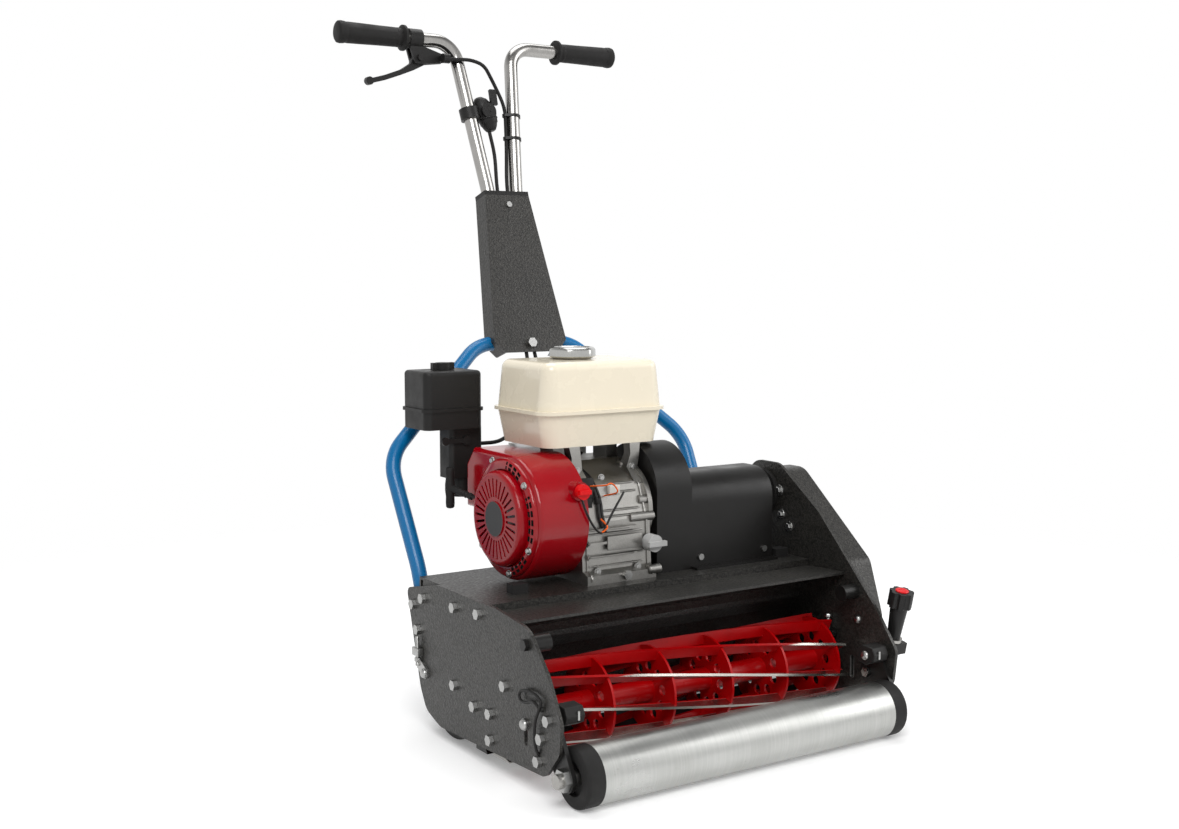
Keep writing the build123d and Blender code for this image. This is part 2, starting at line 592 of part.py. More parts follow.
# ---------------------------------------------------------------- chain cover on the right
COVER_OUTLINE = [(32, 92), (4, 236), (-26, 294), (-64, 294), (-192, 190), (-216, 122),
                 (-214, 28), (-60, 18), (30, 20)]
COVER_RADII = [30, 40, 18, 30, 20, 40, 24, 24, 24]
COVER_DEPTH, COVER_WALL = 47.0, 2.0
with BuildPart() as chain_cover:
    with BuildSketch(Plane.YZ.offset(XR_OUT)):
        with BuildLine():
            FilletPolyline(*COVER_OUTLINE, radius=COVER_RADII, close=True)
        make_face()
    extrude(amount=COVER_DEPTH)
    with BuildSketch(Plane.YZ.offset(XR_OUT)):
        with BuildLine():
            FilletPolyline(*COVER_OUTLINE, radius=COVER_RADII, close=True)
        make_face()
        offset(amount=-COVER_WALL, mode=Mode.REPLACE)
    extrude(amount=COVER_DEPTH - COVER_WALL, mode=Mode.SUBTRACT)
chain_cover.part.label = "chain_cover"
export_step(chain_cover.part, "parts/chain_cover.step")

# ---------------------------------------------------------------- clutch cover and drive housing
ARCH_HALF, ARCH_TOP = 58.0, 342.0
ARCH_WALL = 3.0
ARCH_C = ARCH_TOP - ARCH_HALF


with BuildPart() as clutch_cover:
    with BuildSketch(Plane.YZ.offset(COVER_X0)):
        with Locations((SHAFT_Y, ARCH_C)):
            Circle(ARCH_HALF)
        with Locations((SHAFT_Y, (DECK_Z + ARCH_C) / 2)):
            Rectangle(2 * ARCH_HALF, ARCH_C - DECK_Z)
    extrude(amount=COVER_X1 - COVER_X0)
    with BuildSketch(Plane.YZ.offset(COVER_X0 + ARCH_WALL)):
        with Locations((SHAFT_Y, ARCH_C)):
            Circle(ARCH_HALF - ARCH_WALL)
        with Locations((SHAFT_Y, (DECK_Z + ARCH_C) / 2)):
            Rectangle(2 * (ARCH_HALF - ARCH_WALL), ARCH_C - DECK_Z)
    extrude(amount=COVER_X1 - COVER_X0 - 2 * ARCH_WALL, mode=Mode.SUBTRACT)
    with BuildSketch(Plane.YZ.offset(COVER_X0)):
        with Locations((SHAFT_Y, SHAFT_Z)):
            Circle(SHAFT_R + 1.5)
    extrude(amount=COVER_X1 - COVER_X0, mode=Mode.SUBTRACT)
clutch_cover.part.label = "clutch_cover"
export_step(clutch_cover.part, "parts/clutch_cover.step")

BOX_X0, BOX_X1 = COVER_X1, MID + 200.0
BOX_Y0, BOX_Y1, BOX_TOP = -100.0, 6.0, 303.0
BOX_RADII = [36, 50]


def housing_profile(inset):
    """The housing's end view, square below and round above."""
    with BuildLine() as line:
        FilletPolyline((BOX_Y0 + inset, DECK_Z), (BOX_Y0 + inset, BOX_TOP - inset),
                       (BOX_Y1 - inset, BOX_TOP - inset), (BOX_Y1 - inset, DECK_Z),
                       radius=[BOX_RADII[0] - inset, BOX_RADII[1] - inset])
        Line((BOX_Y1 - inset, DECK_Z), (BOX_Y0 + inset, DECK_Z))
    return line.line


with BuildPart() as drive_housing:
    with BuildSketch(Plane.YZ.offset(BOX_X0)):
        with BuildLine():
            add(housing_profile(0))
        make_face()
    extrude(amount=BOX_X1 - BOX_X0)
    with BuildSketch(Plane.YZ.offset(BOX_X0 + SHEET_T)):
        with BuildLine():
            add(housing_profile(SHEET_T))
        make_face()
    extrude(amount=BOX_X1 - BOX_X0 - 2 * SHEET_T, mode=Mode.SUBTRACT)
    with BuildSketch(Plane.YZ.offset(BOX_X0)):
        with Locations((SHAFT_Y, SHAFT_Z)):
            Circle(SHAFT_R + 1.5)
    extrude(amount=BOX_X1 - BOX_X0, mode=Mode.SUBTRACT)
    with BuildSketch(Plane.YZ.offset(BOX_X0)):
        with Locations((BOX_Y0 - 5, DECK_Z + 1.5)):
            Rectangle(14, 3)
    extrude(amount=BOX_X1 - BOX_X0)
drive_housing.part.label = "drive_housing"
export_step(drive_housing.part, "parts/drive_housing.step")

with BuildPart() as deck_bumpers:
    with BuildSketch(Plane.XY.offset(DECK_Z)):
        with Locations((MID - 178, -96), (MID + 214, -96)):
            Rectangle(20, 16)
    extrude(amount=11)
deck_bumpers.part.label = "deck_bumpers"
export_step(deck_bumpers.part, "parts/deck_bumpers.step")

# ---------------------------------------------------------------- hoop, console and handlebars
HOOP_R, HOOP_BORE = 9.5, 7.5
HOOP_X = HALF_IN - HOOP_R
hoop_points = [(MID - HOOP_X, 39.5, 120), (MID - HOOP_X, 67, 192), (MID - 230, 134, 321),
               (MID - 72, 190, 458), (MID + 72, 190, 458), (MID + 230, 134, 321),
               (MID + HOOP_X, 67, 192), (MID + HOOP_X, 39.5, 120)]
with BuildPart() as hoop:
    add(swept_tube(hoop_points, [150, 60, 60, 60, 60, 150], HOOP_R, HOOP_BORE))
hoop.part.label = "hoop"
export_step(hoop.part, "parts/hoop.step")

CON_BOT = (MID, 171.8, 462.0)
CON_LEAN = degrees(atan2(62.9, 198.0))
CON_H = hypot(62.9, 198.0)
con_up = Vector(0, sin(radians(CON_LEAN)), cos(radians(CON_LEAN)))
con_out = Vector(0, -cos(radians(CON_LEAN)), sin(radians(CON_LEAN)))
con_plane = Plane(origin=CON_BOT, x_dir=(1, 0, 0), z_dir=con_out)
CON_TOP_HALF, CON_BOT_HALF, CON_DEPTH, CON_SKIN = 34.6, 56.6, 28.0, 2.5
CON_FOOT, CON_FOOT_HALF = 16.0, 42.0


CON_IN = CON_SKIN
console_outer = [(-CON_FOOT_HALF, -CON_FOOT), (-CON_BOT_HALF, 0), (-CON_TOP_HALF, CON_H),
                 (CON_TOP_HALF, CON_H), (CON_BOT_HALF, 0), (CON_FOOT_HALF, -CON_FOOT)]
console_inner = [(-CON_FOOT_HALF + CON_IN, -CON_FOOT), (-CON_BOT_HALF + CON_IN, 0),
                 (-CON_TOP_HALF + CON_IN, CON_H), (CON_TOP_HALF - CON_IN, CON_H),
                 (CON_BOT_HALF - CON_IN, 0), (CON_FOOT_HALF - CON_IN, -CON_FOOT)]
with BuildPart() as console:
    with BuildSketch(con_plane):
        with BuildLine():
            Polyline(*console_outer, close=True)
        make_face()
    extrude(amount=-CON_DEPTH)
    with BuildSketch(con_plane.offset(-CON_SKIN)):
        with BuildLine():
            Polyline(*console_inner, close=True)
        make_face()
    extrude(amount=-CON_DEPTH, mode=Mode.SUBTRACT)
    add(rod_x(MID - 72, MID + 72, 190, 458, HOOP_R), mode=Mode.SUBTRACT)
console.part.label = "console"
export_step(console.part, "parts/console.step")

BAR_R, BAR_BORE = 9.5, 7.7
BAR_IN = CON_SKIN + BAR_R
GRIP_Y, GRIP_Z, GRIP_END, GRIP_START = 304.4, 871.6, 219.0, 119.4
BEND_X, NECK_X = 46.0, 22.4
GRIP_R, GRIP_FLANGE_R = 14.5, 17.5


def console_point(x_off, up, back):
    """A point inside the console, given along its face and behind it."""
    return (MID + x_off, CON_BOT[1] + up * con_up.Y - back * con_out.Y,
            CON_BOT[2] + up * con_up.Z - back * con_out.Z)


def handlebar(side):
    points = [(MID + side * (GRIP_END - 5), GRIP_Y, GRIP_Z), (MID + side * BEND_X, GRIP_Y, GRIP_Z),
              console_point(side * NECK_X, CON_H + 10, BAR_IN),
              console_point(side * NECK_X, 60, BAR_IN)]
    return swept_tube(points, [32, 120], BAR_R, BAR_BORE)


with BuildPart() as handlebar_left:
    add(handlebar(-1))
handlebar_left.part.label = "handlebar_left"
export_step(handlebar_left.part, "parts/handlebar_left.step")

with BuildPart() as handlebar_right:
    add(handlebar(1))
handlebar_right.part.label = "handlebar_right"
export_step(handlebar_right.part, "parts/handlebar_right.step")


def grip(side):
    """A rubber grip with shallow grooves and an inner flange."""
    plane = Plane(origin=(MID + side * GRIP_START, GRIP_Y, GRIP_Z), x_dir=(0, 1, 0),
                  z_dir=(side, 0, 0))
    with BuildPart() as rubber:
        with BuildSketch(plane):
            Circle(GRIP_R)
        extrude(amount=GRIP_END - GRIP_START)
        with BuildSketch(plane):
            Circle(GRIP_FLANGE_R)
        extrude(amount=4)
        for k in range(11):
            with BuildSketch(plane.offset(10 + 7.5 * k)):
                Circle(GRIP_R)
                Circle(GRIP_R - 0.9, mode=Mode.SUBTRACT)
            extrude(amount=2, mode=Mode.SUBTRACT)
        with BuildSketch(plane):
            Circle(BAR_R)
        extrude(amount=GRIP_END - GRIP_START - 5, mode=Mode.SUBTRACT)
    return rubber.part


with BuildPart() as grips:
    add(grip(-1))
    add(grip(1))
grips.part.label = "grips"
export_step(grips.part, "parts/grips.step")

CAP_T = 6.0
with BuildPart() as console_cap:
    with BuildSketch(con_plane):
        with BuildLine():
            Polyline((-CON_TOP_HALF, CON_H), (CON_TOP_HALF, CON_H), (CON_TOP_HALF, CON_H + CAP_T),
                     (-CON_TOP_HALF, CON_H + CAP_T), close=True)
        make_face()
    extrude(amount=-CON_DEPTH)
    add(handlebar_left.part, mode=Mode.SUBTRACT)
    add(handlebar_right.part, mode=Mode.SUBTRACT)
    for x_bar in (-NECK_X, NECK_X):
        low = Vector(*console_point(x_bar, CON_H - 20, BAR_IN))
        with BuildSketch(Plane(origin=low, x_dir=(1, 0, 0), z_dir=con_up)):
            Circle(BAR_R)
        extrude(amount=34, mode=Mode.SUBTRACT)
    low = Vector(*console_point(0, CON_H - 20, BAR_IN))
    with BuildSketch(Plane(origin=low, x_dir=(1, 0, 0), z_dir=con_up)):
        SlotOverall(22, 11)
    extrude(amount=34, mode=Mode.SUBTRACT)
console_cap.part.label = "console_cap"
export_step(console_cap.part, "parts/console_cap.step")

# ---------------------------------------------------------------- clutch lever on the left grip
CLAMP_X0, CLAMP_X1, CLAMP_R = MID - 115.0, MID - 96.0, 13.5
LEVER_X, LEVER_Z, LEVER_T = MID - 100.0, GRIP_Z - 25.6, 8.0
NOSE_Y, NOSE_Z = GRIP_Y - 20.0, LEVER_Z
with BuildPart() as lever_bracket:
    with BuildSketch(Plane.YZ.offset(CLAMP_X0)):
        with Locations((GRIP_Y, GRIP_Z)):
            Circle(CLAMP_R)
            Circle(BAR_R, mode=Mode.SUBTRACT)
    extrude(amount=CLAMP_X1 - CLAMP_X0)
    for y_ear in (GRIP_Y - LEVER_T / 2 - GAP - 4, GRIP_Y + LEVER_T / 2 + GAP):
        with BuildSketch(Plane(origin=(0, y_ear, 0), x_dir=(1, 0, 0), z_dir=(0, 1, 0))):
            with BuildLine():
                Polyline((CLAMP_X0, 9.6 - GRIP_Z), (CLAMP_X1, 9.6 - GRIP_Z), (MID - 62, 19.6 - GRIP_Z), (MID - 62, 29.6 - GRIP_Z),
                         (MID - 92, 33.6 - GRIP_Z), (MID - 108, 33.6 - GRIP_Z), close=True)
            make_face()
            with Locations((LEVER_X, -LEVER_Z)):
                Circle(3 + FIT, mode=Mode.SUBTRACT)
        extrude(amount=4)
    with BuildSketch(Plane.YZ.offset(MID - 72)):
        with Locations((NOSE_Y, NOSE_Z)):
            Circle(6.5)
        with Locations((NOSE_Y + 7, NOSE_Z)):
            Rectangle(15, 8)
    extrude(amount=10)
    with BuildSketch(Plane.YZ.offset(MID - 70)):
        with Locations((NOSE_Y, NOSE_Z)):
            Circle(2.5)
    extrude(amount=10, mode=Mode.SUBTRACT)
lever_bracket.part.label = "lever_bracket"
export_step(lever_bracket.part, "parts/lever_bracket.step")

lever_plane = Plane(origin=(0, GRIP_Y - LEVER_T / 2, 0), x_dir=(1, 0, 0), z_dir=(0, 1, 0))
with BuildPart() as clutch_lever:
    with BuildSketch(lever_plane):
        with BuildLine():
            FilletPolyline((MID - 92, -6 - LEVER_Z), (MID - 90, 8 - LEVER_Z), (MID - 108, 17 - LEVER_Z),
                           (MID - 128, 25 - LEVER_Z), (MID - 150, 33 - LEVER_Z), (MID - 172, 39 - LEVER_Z),
                           (MID - 173, 32.5 - LEVER_Z), (MID - 150, 26 - LEVER_Z), (MID - 126, 17 - LEVER_Z),
                           (MID - 112, 8 - LEVER_Z), (MID - 107, -6 - LEVER_Z), radius=3, close=True)
        make_face()
        with Locations((MID - 173, 35.5 - LEVER_Z)):
            Circle(5.5)
    extrude(amount=LEVER_T)
    add(rod_y(GRIP_Y - LEVER_T / 2 - 6, GRIP_Y + LEVER_T / 2 + 6, LEVER_X, LEVER_Z, 3))
    for y_cap in (GRIP_Y - LEVER_T / 2 - 8, GRIP_Y + LEVER_T / 2 + 5):
        add(rod_y(y_cap, y_cap + 3, LEVER_X, LEVER_Z, 4.5))
clutch_lever.part.label = "clutch_lever"
export_step(clutch_lever.part, "parts/clutch_lever.step")

# ---------------------------------------------------------------- throttle on the left handlebar
bar_top = Vector(MID - BEND_X, GRIP_Y, GRIP_Z)
bar_low = Vector(*console_point(-NECK_X, CON_H + 10, BAR_IN))
bar_dir = (bar_low - bar_top).normalized()
THROTTLE_AT = 104.0
thr_plane = Plane(origin=bar_top + bar_dir * THROTTLE_AT, x_dir=(1, 0, 0), z_dir=bar_dir * -1)
THR_X, THR_R, THR_T = 25.0, 14.0, 16.0
thr_face = Plane(origin=thr_plane.from_local_coords((THR_X, -THR_T / 2, 0)),
                 x_dir=(1, 0, 0), z_dir=thr_plane.y_dir)
with BuildPart() as throttle_housing:
    with BuildSketch(thr_plane.offset(-8)):
        Circle(BAR_R + 4)
    extrude(amount=16)
    with BuildSketch(thr_face):
        Circle(THR_R)
    extrude(amount=THR_T)
    with BuildSketch(thr_plane.offset(-26)):
        with Locations((THR_X, 0)):
            Circle(4)
    extrude(amount=16)
    with BuildSketch(thr_plane.offset(-30)):
        Circle(BAR_R)
    extrude(amount=60, mode=Mode.SUBTRACT)
    with BuildSketch(thr_face.offset(-1)):
        Circle(3 + FIT)
    extrude(amount=12, mode=Mode.SUBTRACT)
throttle_housing.part.label = "throttle_housing"
export_step(throttle_housing.part, "parts/throttle_housing.step")

with BuildPart() as throttle_lever:
    with BuildSketch(thr_face.offset(-GAP)):
        Circle(THR_R - 3)
    extrude(amount=-5)
    with BuildSketch(thr_face.offset(-GAP)):
        with Locations((10, -20)):
            Rectangle(10, 22)
    extrude(amount=-5)
    with BuildSketch(thr_face.offset(-GAP - 5)):
        Circle(3)
    extrude(amount=14)
throttle_lever.part.label = "throttle_lever"
export_step(throttle_lever.part, "parts/throttle_lever.step")

# ---------------------------------------------------------------- engine
CASE_X0, CASE_X1 = MID - 93.0, MID + 12.0
FAN_X0, FAN_R, FAN_WALL = MID - 160.0, 75.0, 2.5
STARTER_X0, STARTER_R = MID - 177.0, 57.0
CRANK_R, CRANK_OUT_R = 12.0, 10.0
with BuildPart() as crankcase:
    with BuildSketch(Plane.YZ.offset(CASE_X0)):
        with BuildLine():
            Polyline((-114, DECK_Z), (-114, 197), (-103, 201), (-99, 258), (-82, 300), (-34, 324),
                     (20, 324), (46, 300), (46, DECK_Z), close=True)
        make_face()
    extrude(amount=CASE_X1 - 6 - CASE_X0)
    with BuildSketch(Plane.YZ.offset(CASE_X1 - 6)):
        with Locations((SHAFT_Y, SHAFT_Z)):
            Circle(56)
    extrude(amount=6)
    for z_rib in (216, 232, 248):
        with BuildSketch(Plane.XY.offset(z_rib)):
            with Locations((MID - 52, -100)):
                Rectangle(70, 12)
        extrude(amount=3)
    for x_post in (MID - 78, MID):
        with BuildSketch(Plane.XY.offset(324)):
            with Locations((x_post, -10)):
                Rectangle(16, 30)
        extrude(amount=21)
    add(rod_x(CASE_X0, CASE_X1, SHAFT_Y, SHAFT_Z, CRANK_R + FIT), mode=Mode.SUBTRACT)
    add(rod_y(-112, -90, MID + 2, 228, 7 + FIT), mode=Mode.SUBTRACT)
crankcase.part.label = "crankcase"
export_step(crankcase.part, "parts/crankcase.step")

with BuildPart() as cylinder:
    with BuildSketch(Plane.XY.offset(225)):
        with Locations((MID - 35, 70)):
            Rectangle(70, 48)
    extrude(amount=80)
    with BuildSketch(Plane.XY.offset(300)):
        with Locations((MID - 35, 72)):
            Rectangle(86, 52)
    extrude(amount=34)
    for k in range(6):
        with BuildSketch(Plane.XY.offset(228 + 12 * k)):
            with Locations((MID - 35, 72)):
                Rectangle(86, 52)
        extrude(amount=3)
cylinder.part.label = "cylinder"
export_step(cylinder.part, "parts/cylinder.step")

SWITCH_X, SWITCH_Z = MID - 104.0, 300.0
with BuildPart() as fan_cover:
    with BuildSketch(Plane.YZ.offset(FAN_X0)):
        with Locations((SHAFT_Y, SHAFT_Z)):
            Circle(FAN_R)
        with BuildLine():
            Polyline((SHAFT_Y, SHAFT_Z), (62, SHAFT_Z), (62, 318), (44, SHAFT_Z + FAN_R),
                     (SHAFT_Y, SHAFT_Z + FAN_R), close=True)
        make_face()
    extrude(amount=CASE_X0 - FAN_X0)
    fillet(fan_cover.faces().sort_by(Axis.X)[0].edges(), 6)
    with BuildSketch(Plane.YZ.offset(FAN_X0 + FAN_WALL)):
        with Locations((SHAFT_Y, SHAFT_Z)):
            Circle(FAN_R - FAN_WALL)
        with BuildLine():
            Polyline((SHAFT_Y, SHAFT_Z + 3), (59.5, SHAFT_Z + 3), (59.5, 317), (42, SHAFT_Z + 72.5),
                     (SHAFT_Y, SHAFT_Z + 72.5), close=True)
        make_face()
    extrude(amount=CASE_X0 - FAN_X0 - FAN_WALL, mode=Mode.SUBTRACT)
    add(rod_x(FAN_X0, FAN_X0 + FAN_WALL, SHAFT_Y, SHAFT_Z, 46), mode=Mode.SUBTRACT)
    with BuildSketch(Plane.XZ.offset(98)):
        with Locations((SWITCH_X, SWITCH_Z)):
            Circle(11)
    extrude(amount=18)
    with BuildSketch(Plane.XZ.offset(98)):
        with Locations((SWITCH_X, SWITCH_Z)):
            Circle(3 + FIT)
    extrude(amount=18, mode=Mode.SUBTRACT)
fan_cover.part.label = "fan_cover"
export_step(fan_cover.part, "parts/fan_cover.step")

with BuildPart() as engine_switch:
    with BuildSketch(Plane.XZ.offset(116 + GAP)):
        with Locations((SWITCH_X, SWITCH_Z)):
            Circle(9)
    extrude(amount=7)
    with BuildSketch(Plane.XZ.offset(123 + GAP)):
        with Locations((SWITCH_X, SWITCH_Z)):
            Rectangle(16, 5)
    extrude(amount=4)
    with BuildSketch(Plane.XZ.offset(106)):
        with Locations((SWITCH_X, SWITCH_Z)):
            Circle(3)
    extrude(amount=12)
engine_switch.part.label = "engine_switch"
export_step(engine_switch.part, "parts/engine_switch.step")

SLOTS, SLOT_R, SLOT_LEN = 30, 37.0, 22.0
ROPE_X, ROPE_Z, ROPE_R = MID - 168.0, 280.0, 2.0
GRIP_OUT, GRIP_BACK, GRIP_UP, GRIP_HALF = 12.0, 66.0, 8.0, 26.0
with BuildPart() as recoil_starter:
    with BuildSketch(Plane.YZ.offset(STARTER_X0)):
        with Locations((SHAFT_Y, SHAFT_Z)):
            Circle(STARTER_R)
    extrude(amount=FAN_X0 - STARTER_X0)
    fillet(recoil_starter.faces().sort_by(Axis.X)[0].edges(), 6)
    with BuildSketch(Plane.YZ.offset(STARTER_X0 + FAN_WALL)):
        with Locations((SHAFT_Y, SHAFT_Z)):
            Circle(STARTER_R - 3)
    extrude(amount=FAN_X0 - STARTER_X0 - FAN_WALL, mode=Mode.SUBTRACT)
    with BuildSketch(Plane.YZ.offset(STARTER_X0)):
        with Locations((SHAFT_Y, SHAFT_Z)):
            with PolarLocations(SLOT_R, SLOTS):
                Rectangle(SLOT_LEN, 3)
    extrude(amount=FAN_WALL, mode=Mode.SUBTRACT)
    with BuildSketch(Plane.YZ.offset(STARTER_X0 - 1.5)):
        with Locations((SHAFT_Y, SHAFT_Z)):
            Circle(21)
    extrude(amount=1.5 + FAN_WALL)
    add(rod_y(0, 20, ROPE_X, ROPE_Z, ROPE_R + FIT), mode=Mode.SUBTRACT)
recoil_starter.part.label = "recoil_starter"
export_step(recoil_starter.part, "parts/recoil_starter.step")

with BuildPart() as starter_grip:
    add(rod_y(-44, 40, ROPE_X, ROPE_Z, ROPE_R))
    with BuildSketch(Plane(origin=(ROPE_X, 36, ROPE_Z), x_dir=(0, 0, 1),
                           z_dir=(-GRIP_OUT, GRIP_BACK - 36, GRIP_UP))):
        Circle(4.5)
    extrude(amount=hypot(GRIP_OUT, GRIP_BACK - 36, GRIP_UP))
    add(rod_z(ROPE_Z + GRIP_UP - GRIP_HALF, ROPE_Z + GRIP_UP + GRIP_HALF, ROPE_X - GRIP_OUT, GRIP_BACK, 6.5))
    fillet(starter_grip.edges().filter_by(GeomType.CIRCLE).filter_by(lambda e: abs(e.radius - 6.5) < 0.01), 2.5)
starter_grip.part.label = "starter_grip"
export_step(starter_grip.part, "parts/starter_grip.step")

with BuildPart() as crankshaft:
    add(rod_x(FAN_X0 + 5, CASE_X1, SHAFT_Y, SHAFT_Z, CRANK_R))
    add(rod_x(CASE_X1, COVER_X0 + 37, SHAFT_Y, SHAFT_Z, CRANK_OUT_R))
    add(rod_x(FAN_X0 + 14, FAN_X0 + 40, SHAFT_Y, SHAFT_Z, 62))
    add(rod_x(COVER_X0 + 17, COVER_X0 + 37, SHAFT_Y, SHAFT_Z, CLUTCH_CUP_R - 9))
crankshaft.part.label = "crankshaft"
export_step(crankshaft.part, "parts/crankshaft.step")

TANK_X0, TANK_X1, TANK_Y0, TANK_Y1 = MID - 128.0, MID + 55.0, -75.0, 62.0
TANK_BOTTOM, TANK_SEAM, TANK_TOP = 345.0, 387.0, 447.0
TANK_CX, TANK_CY = (TANK_X0 + TANK_X1) / 2, (TANK_Y0 + TANK_Y1) / 2
TANK_LX, TANK_LY = TANK_X1 - TANK_X0, TANK_Y1 - TANK_Y0
CAP_X, CAP_Y, CAP_R = MID - 45.0, -5.0, 30.0
with BuildPart() as fuel_tank:
    with BuildSketch(Plane.XY.offset(TANK_BOTTOM)):
        with Locations((TANK_CX, TANK_CY)):
            RectangleRounded(TANK_LX - 22, TANK_LY - 22, 16)
    with BuildSketch(Plane.XY.offset(TANK_SEAM - 2)):
        with Locations((TANK_CX, TANK_CY)):
            RectangleRounded(TANK_LX - 8, TANK_LY - 8, 20)
    loft()
    with BuildSketch(Plane.XY.offset(TANK_SEAM - 2)):
        with Locations((TANK_CX, TANK_CY)):
            RectangleRounded(TANK_LX, TANK_LY, 22)
    extrude(amount=4)
    with BuildSketch(Plane.XY.offset(TANK_SEAM + 2)):
        with Locations((TANK_CX, TANK_CY)):
            RectangleRounded(TANK_LX - 8, TANK_LY - 8, 20)
    extrude(amount=TANK_TOP - TANK_SEAM - 2, taper=6)
    fillet(fuel_tank.faces().sort_by(Axis.Z)[-1].edges(), 11)
    with BuildSketch(Plane.XY.offset(TANK_TOP - 1)):
        with Locations((CAP_X, CAP_Y)):
            Circle(22)
    extrude(amount=6)
fuel_tank.part.label = "fuel_tank"
export_step(fuel_tank.part, "parts/fuel_tank.step")

with BuildPart() as fuel_cap:
    with BuildSketch(Plane.XY.offset(TANK_TOP + GAP)):
        with Locations((CAP_X, CAP_Y)):
            Circle(CAP_R)
            with PolarLocations(CAP_R + 2, 12):
                Circle(4, mode=Mode.SUBTRACT)
    extrude(amount=15)
    with BuildSketch(Plane.XY.offset(TANK_TOP)):
        with Locations((CAP_X, CAP_Y)):
            Circle(22 + FIT)
    extrude(amount=5 + FIT, mode=Mode.SUBTRACT)
fuel_cap.part.label = "fuel_cap"
export_step(fuel_cap.part, "parts/fuel_cap.step")

AIR_X0, AIR_X1, AIR_Y0, AIR_Y1, AIR_Z0, AIR_Z1 = MID - 212, MID - 132, 66, 132, 360, 432
with BuildPart() as air_cleaner:
    with BuildSketch(Plane.XY.offset(AIR_Z0)):
        with Locations(((AIR_X0 + AIR_X1) / 2, (AIR_Y0 + AIR_Y1) / 2)):
            RectangleRounded(AIR_X1 - AIR_X0, AIR_Y1 - AIR_Y0, 9)
    extrude(amount=AIR_Z1 - AIR_Z0)
    fillet(air_cleaner.faces().sort_by(Axis.Z)[-1].edges(), 5)
    with BuildSketch(Plane.XY.offset(AIR_Z0 + 22)):
        with Locations(((AIR_X0 + AIR_X1) / 2, (AIR_Y0 + AIR_Y1) / 2)):
            RectangleRounded(AIR_X1 - AIR_X0 + 5, AIR_Y1 - AIR_Y0 + 5, 11)
    extrude(amount=4)
    with BuildSketch(Plane.XY.offset(AIR_Z1 - 10)):
        with Locations(((AIR_X0 + AIR_X1) / 2, (AIR_Y0 + AIR_Y1) / 2)):
            Circle(3 + FIT)
    extrude(amount=10, mode=Mode.SUBTRACT)
air_cleaner.part.label = "air_cleaner"
export_step(air_cleaner.part, "parts/air_cleaner.step")

with BuildPart() as air_knob:
    with BuildSketch(Plane.XY.offset(AIR_Z1 + GAP)):
        with Locations(((AIR_X0 + AIR_X1) / 2, (AIR_Y0 + AIR_Y1) / 2)):
            Circle(9)
            Rectangle(30, 7)
    extrude(amount=9)
    with BuildSketch(Plane.XY.offset(AIR_Z1 - 9)):
        with Locations(((AIR_X0 + AIR_X1) / 2, (AIR_Y0 + AIR_Y1) / 2)):
            Circle(3)
    extrude(amount=10)
air_knob.part.label = "air_knob"
export_step(air_knob.part, "parts/air_knob.step")

CARB_X0, CARB_X1 = MID - 172.0, MID - 126.0
with BuildPart() as carburettor:
    with BuildSketch(Plane.XY.offset(296)):
        with Locations(((CARB_X0 + CARB_X1) / 2, 96)):
            RectangleRounded(CARB_X1 - CARB_X0, 34, 6)
    extrude(amount=AIR_Z0 - 296)
    with BuildSketch(Plane.XY.offset(272)):
        with Locations(((CARB_X0 + CARB_X1) / 2, 96)):
            Circle(15)
    extrude(amount=24)
    add(rod_x(CARB_X1, MID - 78, 84, 314, 11))
    with BuildSketch(Plane.XZ.offset(-90)):
        with Locations((MID - 150, 344)):
            Circle(2.5 + FIT)
    extrude(amount=20, mode=Mode.SUBTRACT)
carburettor.part.label = "carburettor"
export_step(carburettor.part, "parts/carburettor.step")

with BuildPart() as choke_lever:
    with BuildSketch(Plane.XZ.offset(-(79 - GAP))):
        with Locations((MID - 150, 344)):
            Circle(6)
        with Locations((MID - 164, 344)):
            Rectangle(30, 6)
        with Locations((MID - 180, 344)):
            Circle(5)
    extrude(amount=3)
    with BuildSketch(Plane.XZ.offset(-88)):
        with Locations((MID - 150, 344)):
            Circle(2.5)
    extrude(amount=10)
choke_lever.part.label = "choke_lever"
export_step(choke_lever.part, "parts/choke_lever.step")

with BuildPart() as muffler:
    with BuildSketch(Plane.XY.offset(262)):
        with Locations((MID - 25, 124)):
            RectangleRounded(80, 36, 12)
    extrude(amount=62)
    fillet(muffler.faces().sort_by(Axis.Z)[-1].edges(), 5)
    add(rod_y(98, 112, MID - 25, 316, 7))
muffler.part.label = "muffler"
export_step(muffler.part, "parts/muffler.step")

with BuildPart() as oil_cap:
    add(rod_y(-118, -103 - GAP, MID + 2, 228, 10.5))
    add(rod_y(-104, -92, MID + 2, 228, 7))
    with BuildSketch(Plane.XZ.offset(118)):
        with Locations((MID + 2, 228)):
            Rectangle(26, 6)
    extrude(amount=6)
oil_cap.part.label = "oil_cap"
export_step(oil_cap.part, "parts/oil_cap.step")

# ---------------------------------------------------------------- cables, held along their route
CABLE_R = 2.5
rbar_top = Vector(MID + BEND_X, GRIP_Y, GRIP_Z)
rbar_low = Vector(*console_point(NECK_X, CON_H + 10, BAR_IN))
rbar_dir = (rbar_low - rbar_top).normalized()
SIDE_BY = BAR_R + CABLE_R


def beside_bar(along):
    """A point on the cable where it lies against the right handlebar."""
    plane = Plane(origin=rbar_top + rbar_dir * along, x_dir=(1, 0, 0), z_dir=rbar_dir * -1)
    return tuple(plane.from_local_coords((-SIDE_BY, 0, 0)))


